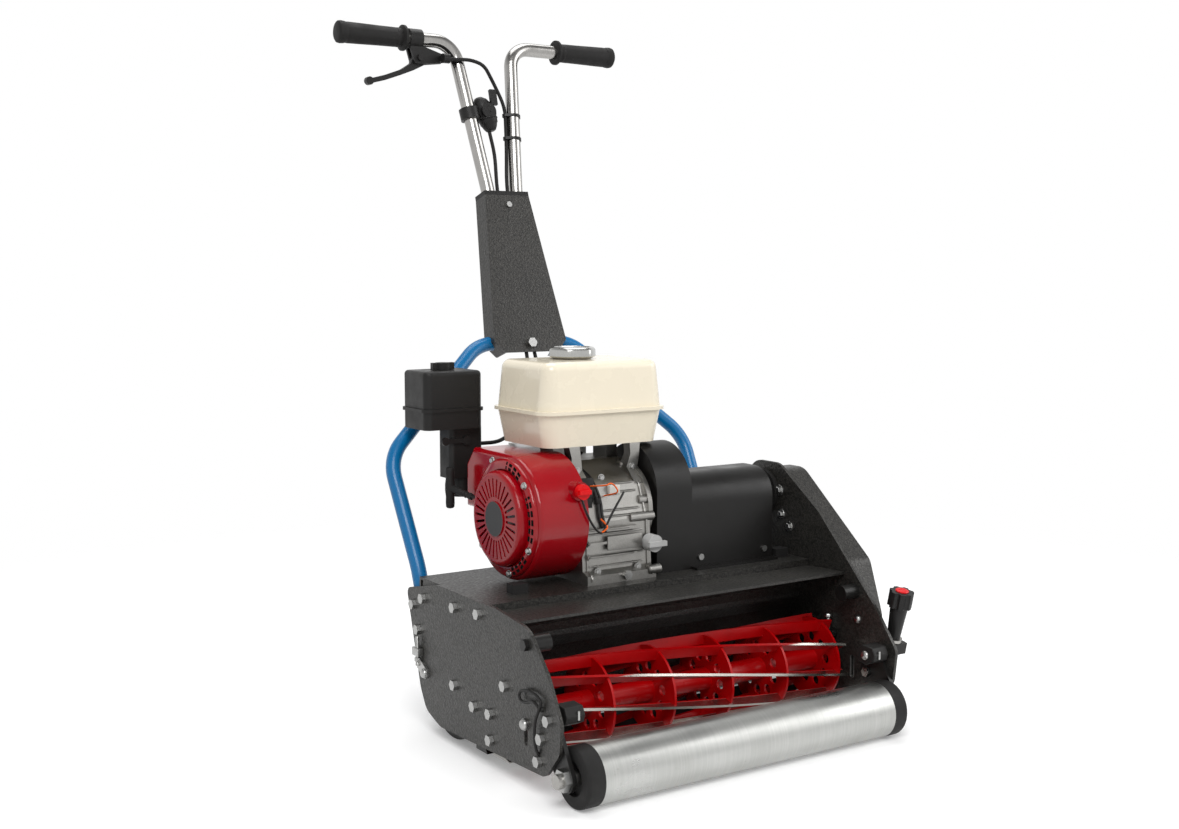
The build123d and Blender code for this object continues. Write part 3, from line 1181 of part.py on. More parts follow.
clutch_route = [(MID - 70, NOSE_Y, NOSE_Z), (MID - 50, NOSE_Y, NOSE_Z),
                (MID - 30, 283, 847), (MID - 7, 285, 842), (MID + 13, 290, 815), beside_bar(92), beside_bar(150),
                console_point(8, CON_H + 14, 12), console_point(7, CON_H - 50, 10.5),
                console_point(6, CON_H - 110, 8.5), console_point(7, 36, 6.5),
                console_point(6, -34, 6.2), (MID + 16, 138, 380), (MID + 36, 104, 324),
                (MID + 43, 64, 268), (MID + 43, SHAFT_Y + ARCH_HALF, 268)]
throttle_route = [tuple(thr_plane.from_local_coords((THR_X, 0, -26))),
                  tuple(thr_plane.from_local_coords((THR_X, 0, -60))),
                  console_point(-8, CON_H + 6, 12), console_point(-7, CON_H - 50, 10.5),
                  console_point(-6, CON_H - 110, 8.5), console_point(-7, 36, 6.5),
                  console_point(-6, -34, 6.2), (MID - 24, 142, 392), (MID - 56, 120, 352),
                  (MID - 88, 98, 336), (CARB_X1, 98, 336)]
print("clutch radii", [round(r) for r in cord_radii(clutch_route)])
print("throttle radii", [round(r) for r in cord_radii(throttle_route)])
with BuildPart() as clutch_cable:
    add(swept_tube(clutch_route, cord_radii(clutch_route), CABLE_R))
clutch_cable.part.label = "clutch_cable"
export_step(clutch_cable.part, "parts/clutch_cable.step")

with BuildPart() as throttle_cable:
    add(swept_tube(throttle_route, cord_radii(throttle_route), CABLE_R))
throttle_cable.part.label = "throttle_cable"
export_step(throttle_cable.part, "parts/throttle_cable.step")

TIE_SKIN, TIE_W = 1.2, 4.0
with BuildPart() as cable_ties:
    for along in (106, 140):
        tie_plane = Plane(origin=rbar_top + rbar_dir * along, x_dir=(1, 0, 0), z_dir=rbar_dir * -1)
        with BuildSketch(tie_plane):
            Circle(BAR_R + TIE_SKIN)
            with Locations((-SIDE_BY, 0)):
                Circle(CABLE_R + TIE_SKIN + 0.7)
            make_hull()
        extrude(amount=TIE_W)
        with BuildSketch(tie_plane):
            Circle(BAR_R)
            with Locations((-SIDE_BY, 0)):
                Circle(CABLE_R + 0.7)
            make_hull()
        extrude(amount=TIE_W, mode=Mode.SUBTRACT)
cable_ties.part.label = "cable_ties"
export_step(cable_ties.part, "parts/cable_ties.step")

# ---------------------------------------------------------------- the remaining screws
with bolts:
    with BuildSketch(Plane.XZ.offset(114)):
        with Locations((MID - 38, 194)):
            RegularPolygon(6, 6)
    extrude(amount=5)
    with BuildSketch(con_plane):
        with Locations((0, CON_H - 14)):
            Circle(4)
    extrude(amount=3)
    with BuildSketch(con_plane):
        with Locations((0, -4)):
            RegularPolygon(7, 6)
    extrude(amount=5)
    with BuildSketch(Plane.XZ.offset(-BOX_Y0)):
        with Locations((BOX_X0 + 14, 200), (BOX_X1 - 14, 200)):
            Circle(4)
    extrude(amount=2.5)
bolts.part.label = "bolts"
export_step(bolts.part, "parts/bolts.step")
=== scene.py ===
import json
import math

import bmesh
import bpy
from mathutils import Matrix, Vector
from mathutils.bvhtree import BVHTree


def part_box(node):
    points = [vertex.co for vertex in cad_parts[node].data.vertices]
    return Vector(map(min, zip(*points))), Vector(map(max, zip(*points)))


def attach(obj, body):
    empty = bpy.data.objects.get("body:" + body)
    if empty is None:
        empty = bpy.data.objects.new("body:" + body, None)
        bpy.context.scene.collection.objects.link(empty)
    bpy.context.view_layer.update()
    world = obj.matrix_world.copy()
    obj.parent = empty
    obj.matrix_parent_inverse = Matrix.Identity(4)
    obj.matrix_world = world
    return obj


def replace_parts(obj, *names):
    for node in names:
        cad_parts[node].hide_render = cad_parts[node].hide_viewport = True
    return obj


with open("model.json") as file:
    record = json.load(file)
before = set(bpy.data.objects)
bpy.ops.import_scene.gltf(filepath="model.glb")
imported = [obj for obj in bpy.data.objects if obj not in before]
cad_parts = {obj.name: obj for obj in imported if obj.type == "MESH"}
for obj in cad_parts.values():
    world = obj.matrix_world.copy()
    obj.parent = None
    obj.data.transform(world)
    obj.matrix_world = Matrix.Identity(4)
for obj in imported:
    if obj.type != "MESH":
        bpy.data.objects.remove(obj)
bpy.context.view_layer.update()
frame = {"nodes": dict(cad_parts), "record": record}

NODES = frame["nodes"]
MID = -19.8                     # x of the machine's centre line, mm
SHAFT_Y, SHAFT_Z = -42, 264     # the line of the engine's shaft, mm
MM = 1000                       # mm in a metre
FULL_TURN = 2 * math.pi

LEFT, RIGHT = (-1, 0, 0), (1, 0, 0)
FORWARD, BACK = (0, -1, 0), (0, 1, 0)
UP = (0, 0, 1)


def point(x, y, z):
    """A point given in mm, x from the machine's centre line."""
    return Vector(((MID + x) / MM, y / MM, z / MM))


def round_shaft(x, radius, degrees):
    """The point at a radius and an angle round the engine's shaft, in mm."""
    angle = math.radians(degrees)
    return point(x, SHAFT_Y + radius * math.cos(angle), SHAFT_Z + radius * math.sin(angle))


def rgb(red, green, blue):
    """A screen colour, each channel from 0 to 255, as a linear one."""
    def linear(c):
        return c / 12.92 if c <= 0.04045 else ((c + 0.055) / 1.055) ** 2.4
    return tuple(linear(c / 255) for c in (red, green, blue)) + (1.0,)


def scaled(colour, factor):
    """The colour with each channel times the factor."""
    return tuple(factor * v for v in colour[:3]) + (1,)


# ---------------------------------------------------------------- materials
NOISE_ROUGHNESS = 0.55
COAT_ROUGHNESS = 0.06
PLASTIC_SPECULAR = 0.25


class Mat:
    """A Principled material that takes its detail from procedural nodes."""

    def __init__(self, name, colour, rough, metallic=0.0, **sockets):
        self.material = bpy.data.materials.new(name)
        self.material.use_nodes = True
        self.tree = self.material.node_tree
        self.shader = self.tree.nodes["Principled BSDF"]
        self.shader.inputs["Base Color"].default_value = colour
        self.shader.inputs["Roughness"].default_value = rough
        self.shader.inputs["Metallic"].default_value = metallic
        for socket, value in sockets.items():
            self.shader.inputs[socket.replace("_", " ")].default_value = value
        self.colour = colour
        self.normal = None
        self.place = self.tree.nodes.new("ShaderNodeTexCoord").outputs["Object"]
        self.material.diffuse_color = colour

    def link(self, source, target):
        self.tree.links.new(source, target)

    def feed(self, socket, value):
        """Links the value where it is another node's output, and sets it where it is a number."""
        if hasattr(value, "is_output"):
            self.link(value, socket)
        else:
            socket.default_value = value

    def node(self, kind, **values):
        """A new node; each value goes to the input of its name, or to the setting of its name."""
        made = self.tree.nodes.new("ShaderNode" + kind)
        for name, value in values.items():
            if name in made.inputs:
                self.feed(made.inputs[name], value)
            else:
                setattr(made, name, value)
        return made

    def stretched(self, x, y, z):
        """Object coordinates, scaled along each axis."""
        made = self.node("Mapping", Vector=self.place)
        made.inputs["Scale"].default_value = (x, y, z)
        return made.outputs[0]

    def noise(self, scale, detail=3.0, place=None):
        made = self.node("TexNoise", Scale=scale, Detail=detail, Roughness=NOISE_ROUGHNESS)
        self.link(place or self.place, made.inputs["Vector"])
        return made.outputs[0]

    def cells(self, scale):
        made = self.node("TexVoronoi", Scale=scale, feature="SMOOTH_F1")
        self.link(self.place, made.inputs["Vector"])
        return made.outputs["Distance"]

    def span(self, value, low, high, at_low=0.0, at_high=1.0):
        """The value, mapped from low..high to at_low..at_high."""
        made = self.node("MapRange", Value=value)
        made.inputs["From Min"].default_value = low
        made.inputs["From Max"].default_value = high
        made.inputs["To Min"].default_value = at_low
        made.inputs["To Max"].default_value = at_high
        return made.outputs[0]

    def math(self, operation, first, second=0.0):
        made = self.node("Math", operation=operation)
        self.feed(made.inputs[0], first)
        self.feed(made.inputs[1], second)
        return made.outputs[0]

    def axis(self, index):
        """One object coordinate, in metres."""
        return self.node("SeparateXYZ", Vector=self.place).outputs[index]

    def radius(self, y, z):
        """Distance from the line along X through (y, z), in metres."""
        dy = self.math("SUBTRACT", self.axis(1), y)
        dz = self.math("SUBTRACT", self.axis(2), z)
        squares = self.math("ADD", self.math("MULTIPLY", dy, dy), self.math("MULTIPLY", dz, dz))
        return self.math("SQRT", squares)

    def bump(self, height, strength, distance):
        """Adds relief on top of what is there; the distance is in metres."""
        made = self.node("Bump", Strength=strength, Distance=distance)
        self.link(height, made.inputs["Height"])
        if self.normal:
            self.link(self.normal, made.inputs["Normal"])
        self.normal = made.outputs[0]
        self.link(self.normal, self.shader.inputs["Normal"])

    def tint(self, amount, colour):
        """Mixes the colour in by the amount, over what is there."""
        mix = self.node("Mix", data_type="RGBA")
        amount_in, under, over, mixed = mix.inputs[0], mix.inputs[6], mix.inputs[7], mix.outputs[2]
        base = self.shader.inputs["Base Color"]
        if base.links:
            self.link(base.links[0].from_socket, under)
        else:
            under.default_value = self.colour
        self.link(amount, amount_in)
        over.default_value = colour
        self.link(mixed, base)

    def mottle(self, colour, scale, detail, low, high, amount=1.0, place=None):
        """Mixes the colour in, up to the amount, as a noise goes from low to high."""
        self.tint(self.span(self.noise(scale, detail, place), low, high, 0.0, amount), colour)

    def roughen(self, value, low, high):
        """Lets the roughness go from low to high with a noise."""
        self.link(self.span(value, 0.3, 0.7, low, high), self.shader.inputs["Roughness"])

    def mask_to(self, socket, amount, start, end):
        """The socket goes from start to end as the amount goes from 0 to 1."""
        self.link(self.span(amount, 0, 1, start, end), self.shader.inputs[socket])


def hammered(name, dark, light, rough, metallic):
    """Hammered enamel: pale cells with a dark edge, bright flecks and broad dark clouds."""
    m = Mat(name, dark, rough, metallic)
    cells = m.cells(430)
    m.tint(m.span(cells, 0.12, 0.62, 1, 0), light)
    m.mottle(scaled(light, 4), scale=1500, detail=2, low=0.6, high=0.72)
    m.mottle(scaled(dark, 0.5), scale=9, detail=3, low=0.35, high=0.75, amount=0.35)
    m.bump(cells, strength=0.55, distance=0.0006)
    m.bump(m.noise(260, 4), strength=0.35, distance=0.0003)
    m.roughen(m.noise(300, 2), rough - 0.08, rough + 0.1)
    return m.material


def paint(name, colour, rough, coat=0.0, peel=0.12, specular=0.35):
    """Paint with faint clouds, dust specks and orange peel."""
    m = Mat(name, colour, rough, Coat_Weight=coat, Coat_Roughness=COAT_ROUGHNESS, Specular_IOR_Level=specular)
    speck = tuple(min(1, 1.6 * v + 0.01) for v in colour[:3]) + (1,)
    m.mottle(scaled(colour, 0.6), scale=14, detail=4, low=0.3, high=0.8, amount=0.1)
    m.mottle(speck, scale=900, detail=3, low=0.66, high=0.8, amount=0.35)
    m.bump(m.noise(420, 2), strength=peel, distance=0.0004)
    m.bump(m.noise(60, 3), strength=peel, distance=0.0006)
    m.roughen(m.noise(35, 3), max(0.03, rough - 0.05), rough + 0.08)
    return m.material


def plastic(name, colour, rough, grain, grain_scale=1400):
    """Moulded plastic or rubber with a fine grain and pale scuffs."""
    m = Mat(name, colour, rough, Specular_IOR_Level=PLASTIC_SPECULAR)
    m.mottle(scaled(colour, 1.7), scale=20, detail=4, low=0.35, high=0.75, amount=0.4)
    m.mottle(scaled(colour, 2.2), scale=2400, detail=2, low=0.62, high=0.75, amount=0.3)
    m.bump(m.noise(grain_scale, 3), strength=grain, distance=0.0002)
    m.roughen(m.noise(50, 3), rough - 0.08, rough + 0.1)
    return m.material


def metal(name, colour, rough, scale, fleck, relief, stretch=None):
    """Bare or plated metal with dark flecks and clouds, drawn out where stretch is given."""
    m = Mat(name, colour, rough, 1.0)
    place = m.stretched(*stretch) if stretch else m.place
    m.mottle(scaled(colour, 0.5), scale=scale, detail=4, low=0.35, high=0.7, amount=fleck, place=place)
    m.mottle(scaled(colour, 0.7), scale=22, detail=4, low=0.4, high=0.75, amount=0.35)
    m.bump(m.noise(scale, 3, place), strength=relief, distance=0.0002)
    m.roughen(m.noise(70, 3), max(0.04, rough - 0.06), rough + 0.1)
    return m.material


def roller_steel():
    """Worn steel with lines along and round the roller."""
    m = Mat("roller_steel", (0.46, 0.465, 0.45, 1), 0.33, 1.0)
    lengthwise = m.noise(900, 3, m.stretched(0.02, 1, 1))
    rings = m.noise(500, 3, m.stretched(1, 0.02, 0.02))
    clouds = m.noise(16, 5, m.stretched(0.6, 1, 1))
    m.tint(m.span(clouds, 0.35, 0.7, 0, 0.5), (0.33, 0.33, 0.31, 1))
    m.tint(m.span(rings, 0.4, 0.7, 0, 0.35), (0.56, 0.56, 0.545, 1))
    m.mottle((0.3, 0.29, 0.26, 1), scale=120, detail=4, low=0.66, high=0.76, amount=0.5)
    m.bump(rings, strength=0.2, distance=0.0002)
    m.bump(lengthwise, strength=0.15, distance=0.0001)
    m.roughen(clouds, 0.24, 0.46)
    return m.material


# The blades turn to bare steel beyond this distance from this line along X, in metres. The line is the
# axis of an earlier reel, 15 mm behind the present one and 12 mm above it.
BARE_Y, BARE_Z = -0.153, 0.080
BARE_FROM, BARE_FULL = 0.0617, 0.0623
BARE_WANDER = 0.0009


def blade_red():
    """Red blades with stains, and bare steel beyond BARE_FROM."""
    m = Mat("reel_blades_red", rgb(170, 0, 4), 0.3, Specular_IOR_Level=0.3)
    wander = m.math("MULTIPLY", m.noise(80, 3), BARE_WANDER)
    bare = m.span(m.math("ADD", m.radius(BARE_Y, BARE_Z), wander), BARE_FROM, BARE_FULL)
    m.mottle(rgb(110, 0, 4), scale=30, detail=4, low=0.35, high=0.75, amount=0.35)
    m.mottle(rgb(60, 12, 10), scale=260, detail=4, low=0.68, high=0.78, amount=0.6)
    m.tint(bare, (0.52, 0.5, 0.46, 1))
    m.mask_to("Metallic", bare, 0, 1)
    m.mask_to("Roughness", bare, 0.32, 0.27)
    m.bump(m.noise(400, 2), strength=0.15, distance=0.0004)
    m.bump(m.noise(1200, 2, m.stretched(0.1, 1, 1)), strength=0.15, distance=0.0001)
    return m.material


# The starter's face, its badge and its ring of slots, in metres.
STARTER_FACE_X = -0.1965
BADGE_R = 0.0207, 0.0210
SLOT_RING_INNER = 0.0215, 0.022
SLOT_RING_OUTER = 0.0535, 0.0545
# depths behind the face over which the painted shade inside the slots fades in
SLOT_SHADE_DEPTH = 0.0035, 0.0055


def recoil_red():
    """Red face with a bare black place for the badge in the middle, and shade painted dark inside the slots.
    """
    m = Mat("recoil_red", rgb(150, 0, 14), 0.2, Specular_IOR_Level=0.35)
    r = m.radius(SHAFT_Y / MM, SHAFT_Z / MM)
    badge = m.span(r, *BADGE_R, 1, 0)
    # painted shade: deep and ring mark the slots' recesses, deeper than SLOT_SHADE_DEPTH behind the face
    deep = m.span(m.axis(0), *(STARTER_FACE_X + depth for depth in SLOT_SHADE_DEPTH))
    ring = m.math("MULTIPLY", m.span(r, *SLOT_RING_INNER), m.span(r, *SLOT_RING_OUTER, 1, 0))
    m.mottle(rgb(120, 0, 12), scale=14, detail=4, low=0.3, high=0.8, amount=0.2)
    m.tint(badge, (0.011, 0.0105, 0.01, 1))
    # painted shade: the slots' recesses are darkened to near black to stand in for the shade inside them
    m.tint(m.math("MULTIPLY", deep, ring), (0.02, 0.004, 0.004, 1))
    m.bump(m.noise(420, 2), strength=0.08, distance=0.0004)
    m.mask_to("Roughness", badge, 0.22, 0.4)
    return m.material


MATERIALS = {
    "hammer": hammered("hammertone", (0.0095, 0.009, 0.008, 1), (0.040, 0.038, 0.034, 1), rough=0.40,
                       metallic=0.2),
    "black": paint("black_satin", (0.0075, 0.007, 0.0066, 1), rough=0.34, peel=0.16, specular=0.28),
    "cast_black": plastic("black_cast", (0.011, 0.0105, 0.01, 1), rough=0.5, grain=0.5, grain_scale=700),
    "blue": paint("blue_gloss", rgb(0, 104, 160), rough=0.26, coat=0.1, peel=0.1),
    "red": paint("red_gloss", rgb(150, 0, 14), rough=0.16, coat=0.15, peel=0.05),
    "reel_red": paint("reel_red", rgb(170, 0, 4), rough=0.3, peel=0.16, specular=0.3),
    "cream": paint("cream_gloss", rgb(238, 228, 206), rough=0.24, coat=0.5, peel=0.06),
    "chrome": metal("chrome", (0.40, 0.39, 0.375, 1), 0.16, scale=500, fleck=0.25, relief=0.05,
                    stretch=(1, 1, 0.12)),
    "cap_chrome": metal("cap_chrome", (0.46, 0.46, 0.445, 1), 0.18, scale=500, fleck=0.15, relief=0.06),
    "zinc": metal("zinc", (0.44, 0.44, 0.43, 1), 0.3, scale=700, fleck=0.3, relief=0.2),
    "steel": metal("steel", (0.42, 0.41, 0.39, 1), 0.34, scale=700, fleck=0.35, relief=0.2,
                   stretch=(0.2, 1, 1)),
    "alloy": metal("cast_alloy", (0.33, 0.322, 0.305, 1), 0.36, scale=900, fleck=0.45, relief=0.5),
    "rubber": plastic("rubber", (0.0095, 0.009, 0.0088, 1), rough=0.62, grain=0.4, grain_scale=1800),
    "plastic": plastic("black_plastic", (0.0105, 0.010, 0.0098, 1), rough=0.42, grain=0.3, grain_scale=1500),
    "red_plastic": plastic("red_plastic", rgb(205, 12, 18), rough=0.32, grain=0.15),
    "grey": plastic("grey_plastic", (0.36, 0.36, 0.355, 1), rough=0.4, grain=0.2),
    "white": plastic("off_white", (0.55, 0.54, 0.5, 1), rough=0.4, grain=0.15),
    "orange": plastic("orange_wire", rgb(225, 95, 25), rough=0.4, grain=0.1),
    # painted shade: deep black that stands in for the shade inside the starter ring's slot pockets
    "dark": plastic("slot_shade_black", (0.006, 0.006, 0.006, 1), rough=0.7, grain=0.3),
    "roller": roller_steel(),
    "blade": blade_red(),
    "recoil": recoil_red(),
}

# The material of each slot in the record, and of the nodes that have one of their own.
BY_SLOT = {
    "hammertone": "hammer", "black_paint": "black", "blue_paint": "blue", "red_paint": "red",
    "chrome": "chrome", "steel": "steel", "zinc": "zinc", "cast_alloy": "alloy", "rubber": "rubber",
    "black_plastic": "plastic", "tank_cream": "cream", "red_plastic": "red_plastic", "grey_plastic": "grey",
}
BY_NODE = {
    "reel_blades": "blade", "reel_spiders": "reel_red", "reel_shaft": "reel_red", "recoil_starter": "recoil",
    "front_roller": "roller", "fuel_cap": "cap_chrome", "countershaft_bearing": "cast_black",
    "reel_bearings": "cast_black", "carburettor": "cast_black", "starter_grip": "rubber",
}
for part in frame["record"]["subparts"]:
    slots = NODES[part["node"]].data.materials
    slots.clear()
    slots.append(MATERIALS[BY_NODE.get(part["node"], BY_SLOT[part["material_slot"]])])


# ---------------------------------------------------------------- mesh tools
SUNK = -0.3                 # where a head or stud starts, below the face that it sits on, mm
CURVE_STEPS = 7             # runs between two points of a tube
BEVEL_ANGLE = 40
NODE_SMOOTH_ANGLE = 32
AHEAD_Y = -260              # a place in front of the engine, mm
CASE_Y = -60.0


def smooth(obj, angle):
    """Shades faces smoothly where they meet at less than the angle, in degrees."""
    mesh = obj.data
    for face in mesh.polygons:
        face.use_smooth = True
    work = bmesh.new()
    work.from_mesh(mesh)
    limit = math.radians(angle)
    sharp = [not (len(e.link_faces) == 2 and e.calc_face_angle(3.2) < limit) for e in work.edges]
    work.free()
    flags = mesh.attributes.get("sharp_edge") or mesh.attributes.new("sharp_edge", "BOOLEAN", "EDGE")
    flags.data.foreach_set("value", sharp)


class Piece:
    """Collects solids in one mesh, all in the part's frame."""

    def __init__(self, name, body, material, slot):
        self.name = name
        self.body = body
        self.material = material
        self.slot = slot
        self.mesh = bmesh.new()

    def rings(self, loops):
        """Skins a list of equal loops of points and closes both ends."""
        made = [[self.mesh.verts.new(p) for p in loop] for loop in loops]
        count = len(made[0])
        for low, high in zip(made, made[1:]):
            for i in range(count):
                j = (i + 1) % count
                self.mesh.faces.new((low[i], low[j], high[j], high[i]))
        self.mesh.faces.new(list(reversed(made[0])))
        self.mesh.faces.new(made[-1])

    def lathe(self, start, axis, profile, sides=28, shape=None):
        """profile: (height, radius) in mm along the axis; shape(angle) scales the radius."""
        along = Vector(axis).normalized()
        across = along.orthogonal().normalized()
        third = along.cross(across)
        loops = []
        for height, radius in profile:
            loop = []
            for i in range(sides):
                a = FULL_TURN * i / sides
                k = shape(a) if shape else 1.0
                out = (across * math.cos(a) + third * math.sin(a)) * (max(radius, 0.01) * k / MM)
                loop.append(start + along * (height / MM) + out)
            loops.append(loop)
        self.rings(loops)

    def hexhead(self, start, axis, r, h, washer):
        """A bolt head with six sides, on a washer of this radius or on none where it is 0."""
        def hexagon(a):
            return math.cos(math.pi / 6) / math.cos((a + math.pi / 6) % (math.pi / 3) - math.pi / 6)
        if washer:
            self.lathe(start, axis, [(SUNK, washer * 0.98), (0, washer), (1.0, washer), (1.3, washer * 0.96),
                                     (1.3, r * 0.8)])
        foot = 1.2 if washer else SUNK
        head = [(foot, r), (foot + h * 0.82, r), (foot + h, r * 0.86), (foot + h + 0.1, r * 0.5)]
        self.lathe(start, axis, head, 24, hexagon)

    def stud(self, start, axis, r, h):
        """A threaded end with a chamfer and a pitch of 1 mm."""
        thread = []
        for k in range(math.ceil(h - 1)):
            thread += [(k, r * 0.88), (k + 0.5, r)]
        self.lathe(start, axis, [(SUNK, r * 0.9)] + thread + [(h - 0.6, r * 0.88), (h, r * 0.7)], 20)

    def block(self, low, high, r=1.0):
        """A box with rounded edges, corners in mm."""
        low, high = point(*low), point(*high)
        made = bmesh.ops.create_cube(self.mesh, size=1.0)["verts"]
        for v in made:
            v.co = Vector(low[i] + (v.co[i] + 0.5) * (high[i] - low[i]) for i in range(3))
        edges = {e for v in made for e in v.link_edges}
        bmesh.ops.bevel(self.mesh, geom=list(edges), offset=r / MM, segments=3, profile=0.5, affect="EDGES")

    def tube(self, points, r, sides):
        """A round tube along a smooth line through the points (mm)."""
        stops = [point(*p) for p in points]
        ends = [stops[0] * 2 - stops[1]] + stops + [stops[-1] * 2 - stops[-2]]
        line = []
        for a, b, c, d in zip(ends, ends[1:], ends[2:], ends[3:]):
            for step in range(CURVE_STEPS):
                t = step / CURVE_STEPS
                square = (2 * a - 5 * b + 4 * c - d) * t * t
                cube = (3 * b - a - 3 * c + d) * t ** 3
                line.append(0.5 * ((2 * b) + (c - a) * t + square + cube))
        line.append(stops[-1])
        up = (line[1] - line[0]).orthogonal().normalized()
        loops = []
        for i, p in enumerate(line):
            tangent = (line[min(i + 1, len(line) - 1)] - line[max(i - 1, 0)]).normalized()
            up = (up - tangent * up.dot(tangent)).normalized()
            side = tangent.cross(up)
            loop = []
            for k in range(sides):
                a = FULL_TURN * k / sides
                loop.append(p + (up * math.cos(a) + side * math.sin(a)) * r / MM)
            loops.append(loop)
        self.rings(loops)

    def prism(self, outline, *planes):
        """A solid with this outline of (y, z) points in each of the planes, given by their x."""
        self.rings([[point(x, y, z) for y, z in outline] for x in planes])

    def done(self, angle=35, bevel=0):
        """Makes the object; the bevel is in mm."""
        bmesh.ops.recalc_face_normals(self.mesh, faces=self.mesh.faces)
        mesh = bpy.data.meshes.new(self.name)
        self.mesh.to_mesh(mesh)
        self.mesh.free()
        obj = bpy.data.objects.new(self.name, mesh)
        bpy.context.scene.collection.objects.link(obj)
        mesh.materials.append(MATERIALS[self.material])
        if bevel:
            edge = obj.modifiers.new("edge", "BEVEL")
            edge.width = bevel / MM
            edge.segments = 2
            edge.limit_method = "ANGLE"
            edge.angle_limit = math.radians(BEVEL_ANGLE)
        smooth(obj, angle)
        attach(obj, self.body)
        return obj


TREES = {}


def surface(nodes, start, direction):
    """Where a ray from start (mm) first meets one of the nodes, in mm from the centre line."""
    nearest = None
    for name in nodes:
        if name not in TREES:
            mesh = NODES[name].data
            corners = [v.co for v in mesh.vertices]
            TREES[name] = BVHTree.FromPolygons(corners, [face.vertices for face in mesh.polygons])
        place, _, _, distance = TREES[name].ray_cast(point(*start), Vector(direction))
        if place is not None and (nearest is None or distance < nearest[1]):
            nearest = (place, distance)
    if nearest is None:
        return None
    place = nearest[0]
    return place.x * MM - MID, place.y * MM, place.z * MM


def front(x, z):
    """The y of the crankcase's front at x and z, in mm, or CASE_Y where it has none there."""
    hit = surface(["crankcase"], (x, AHEAD_Y, z), BACK)
    return hit[1] if hit else CASE_Y


# ---------------------------------------------------------------- starter and fan cover
COVER_SCREWS = ((62, 73), (138, 66), (207, 66), (258, 66), (322, 66))   # angle and radius round the shaft
COVER_RIM_R = 70                # a screw further out than this sits on the cover's rim
COVER_FACE_X, COVER_RIM_X = -165.2, -160

# x and radius of each corner of the ring's section.
RING_PROFILE = [(-159.8, 56.8), (-163.2, 57.0), (-166.0, 58.4), (-166.3, 59.6), (-166.0, 63.6),
                (-165.7, 64.9), (-164.9, 68.6), (-163.4, 70.4), (-161.0, 71.2), (-159.8, 71.0)]
RING_STEPS = 120
RING_STEP = 3.0                                     # degrees
SLOT_GROUPS = ((96, 126), (150, 196), (218, 250))   # from and to, degrees
SLOT_ROWS = ((59.6, 63.6), (64.9, 68.6))            # the strips of the profile that have slots, radii
SLOT_EVERY = 3                                      # each third step is a bar between two slots
SLOT_DEPTH = Vector((0.0034, 0, 0))


def cover_screws():
    """Screws round the fan cover and the starter."""
    screws = Piece("cover_screws", "frame", "zinc", "zinc")
    for degrees, radius in COVER_SCREWS:
        x = COVER_FACE_X if radius < COVER_RIM_R else COVER_RIM_X
        screws.hexhead(round_shaft(x, radius, degrees), LEFT, r=3.4, h=2.4, washer=4.6)
    screws.done()


def starter_ring():
    """A domed ring round the starter, with pockets for slots whose walls and floors are painted deep black as
    shade.
    """
    ring = Piece("starter_ring", "frame", "red", "red_paint")
    new_vert, new_face = ring.mesh.verts.new, ring.mesh.faces.new
    for k in range(RING_STEPS):
        a0, a1 = RING_STEP * k, RING_STEP * (k + 1)
        in_group = any(start <= a0 < end for start, end in SLOT_GROUPS)
        for (x0, r0), (x1, r1) in zip(RING_PROFILE, RING_PROFILE[1:]):
            corners = [round_shaft(x0, r0, a0), round_shaft(x1, r1, a0), round_shaft(x1, r1, a1),
                       round_shaft(x0, r0, a1)]
            if (r0, r1) in SLOT_ROWS and in_group and k % SLOT_EVERY:
                # painted shade: each slot is a pocket whose walls and floor take the deep black second
                # material
                made = [new_vert(v) for v in corners + [v + SLOT_DEPTH for v in corners]]
                for i in range(4):
                    j = (i + 1) % 4
                    new_face((made[i], made[j], made[j + 4], made[i + 4])).material_index = 1
                new_face(made[4:]).material_index = 1
            else:
                new_face([new_vert(v) for v in corners])
    bmesh.ops.remove_doubles(ring.mesh, verts=ring.mesh.verts, dist=1e-6)
    # the second material paints the shade inside the slot pockets
    ring.done(40).data.materials.append(MATERIALS["dark"])


# ---------------------------------------------------------------- filler cap, grips, throttle, knob
CAP_LOBES = 6
GRIP_PADS = 4
# Distance from the grip's outer end and radius, mm: the rounded end, the padded length, the neck and flange.
GRIP_END = [(0, 9.0), (0.6, 12.6), (2.0, 14.4), (5.0, 15.0), (10, 14.6), (12, 13.9), (13, 13.9)]
GRIP_LENGTH = [(12.8, 13.0), (13, 13.9), (16, 14.1), (35, 13.8), (60, 13.3), (84, 13.1), (86, 12.9)]
GRIP_FLANGE = [(85.5, 12.6), (86, 13.0), (89, 13.2), (91.5, 12.4), (93, 12.4), (94.2, 15.0), (95.2, 17.4),
               (98.4, 17.4), (99.4, 15.6), (99.6, 12.0)]

# Sections of the throttle's housing: place along it, half width, half depth and shift sideways, mm.
DOME = ((-25, 5, 5, 0), (-24, 7, 7, 0), (-20, 9.5, 9.5, 0), (-15, 11.5, 11, 0), (-14, 12.6, 12, 0),
        (-4, 13.6, 13, 0), (6, 13.6, 13, -1), (14, 12.4, 12, -2), (20, 9.8, 10, -3.4), (24, 5.6, 6.5, -5),
        (25.2, 1.5, 2, -6))
DOME_SIDES = 28
DOME_RIBS = ((-8, 13.9), (0, 14.3), (8, 14.0))          # place along the housing and half width, mm
RIB_DEPTH = 13.6
RIB_SECTION = ((-1.4, 0.9), (-0.8, 1.0), (0.8, 1.0), (1.4, 0.9))    # from its middle, mm, and scale
DOME_INSET = Vector((-0.0125, 0, 0.004))                # from the middle of the CAD housing's right side
BAR_LINE, BAR_SIDE = (-0.17, 0.29, 0.94), (1, 0, 0.17)  # along the left handlebar and across it

ADJUSTER_LINE = (0, -13, 61)                            # the direction of the height adjuster's spindle
ADJUSTER_BASE = (262, -258, 104)
KNOB_DISC_AT = 0.0640                                   # from the base, metres
KNOB_DISC = [(-0.5, 8.2), (0.9, 8.2), (1.4, 7.6), (1.6, 5.0), (1.1, 4.4), (1.1, 0.1)]


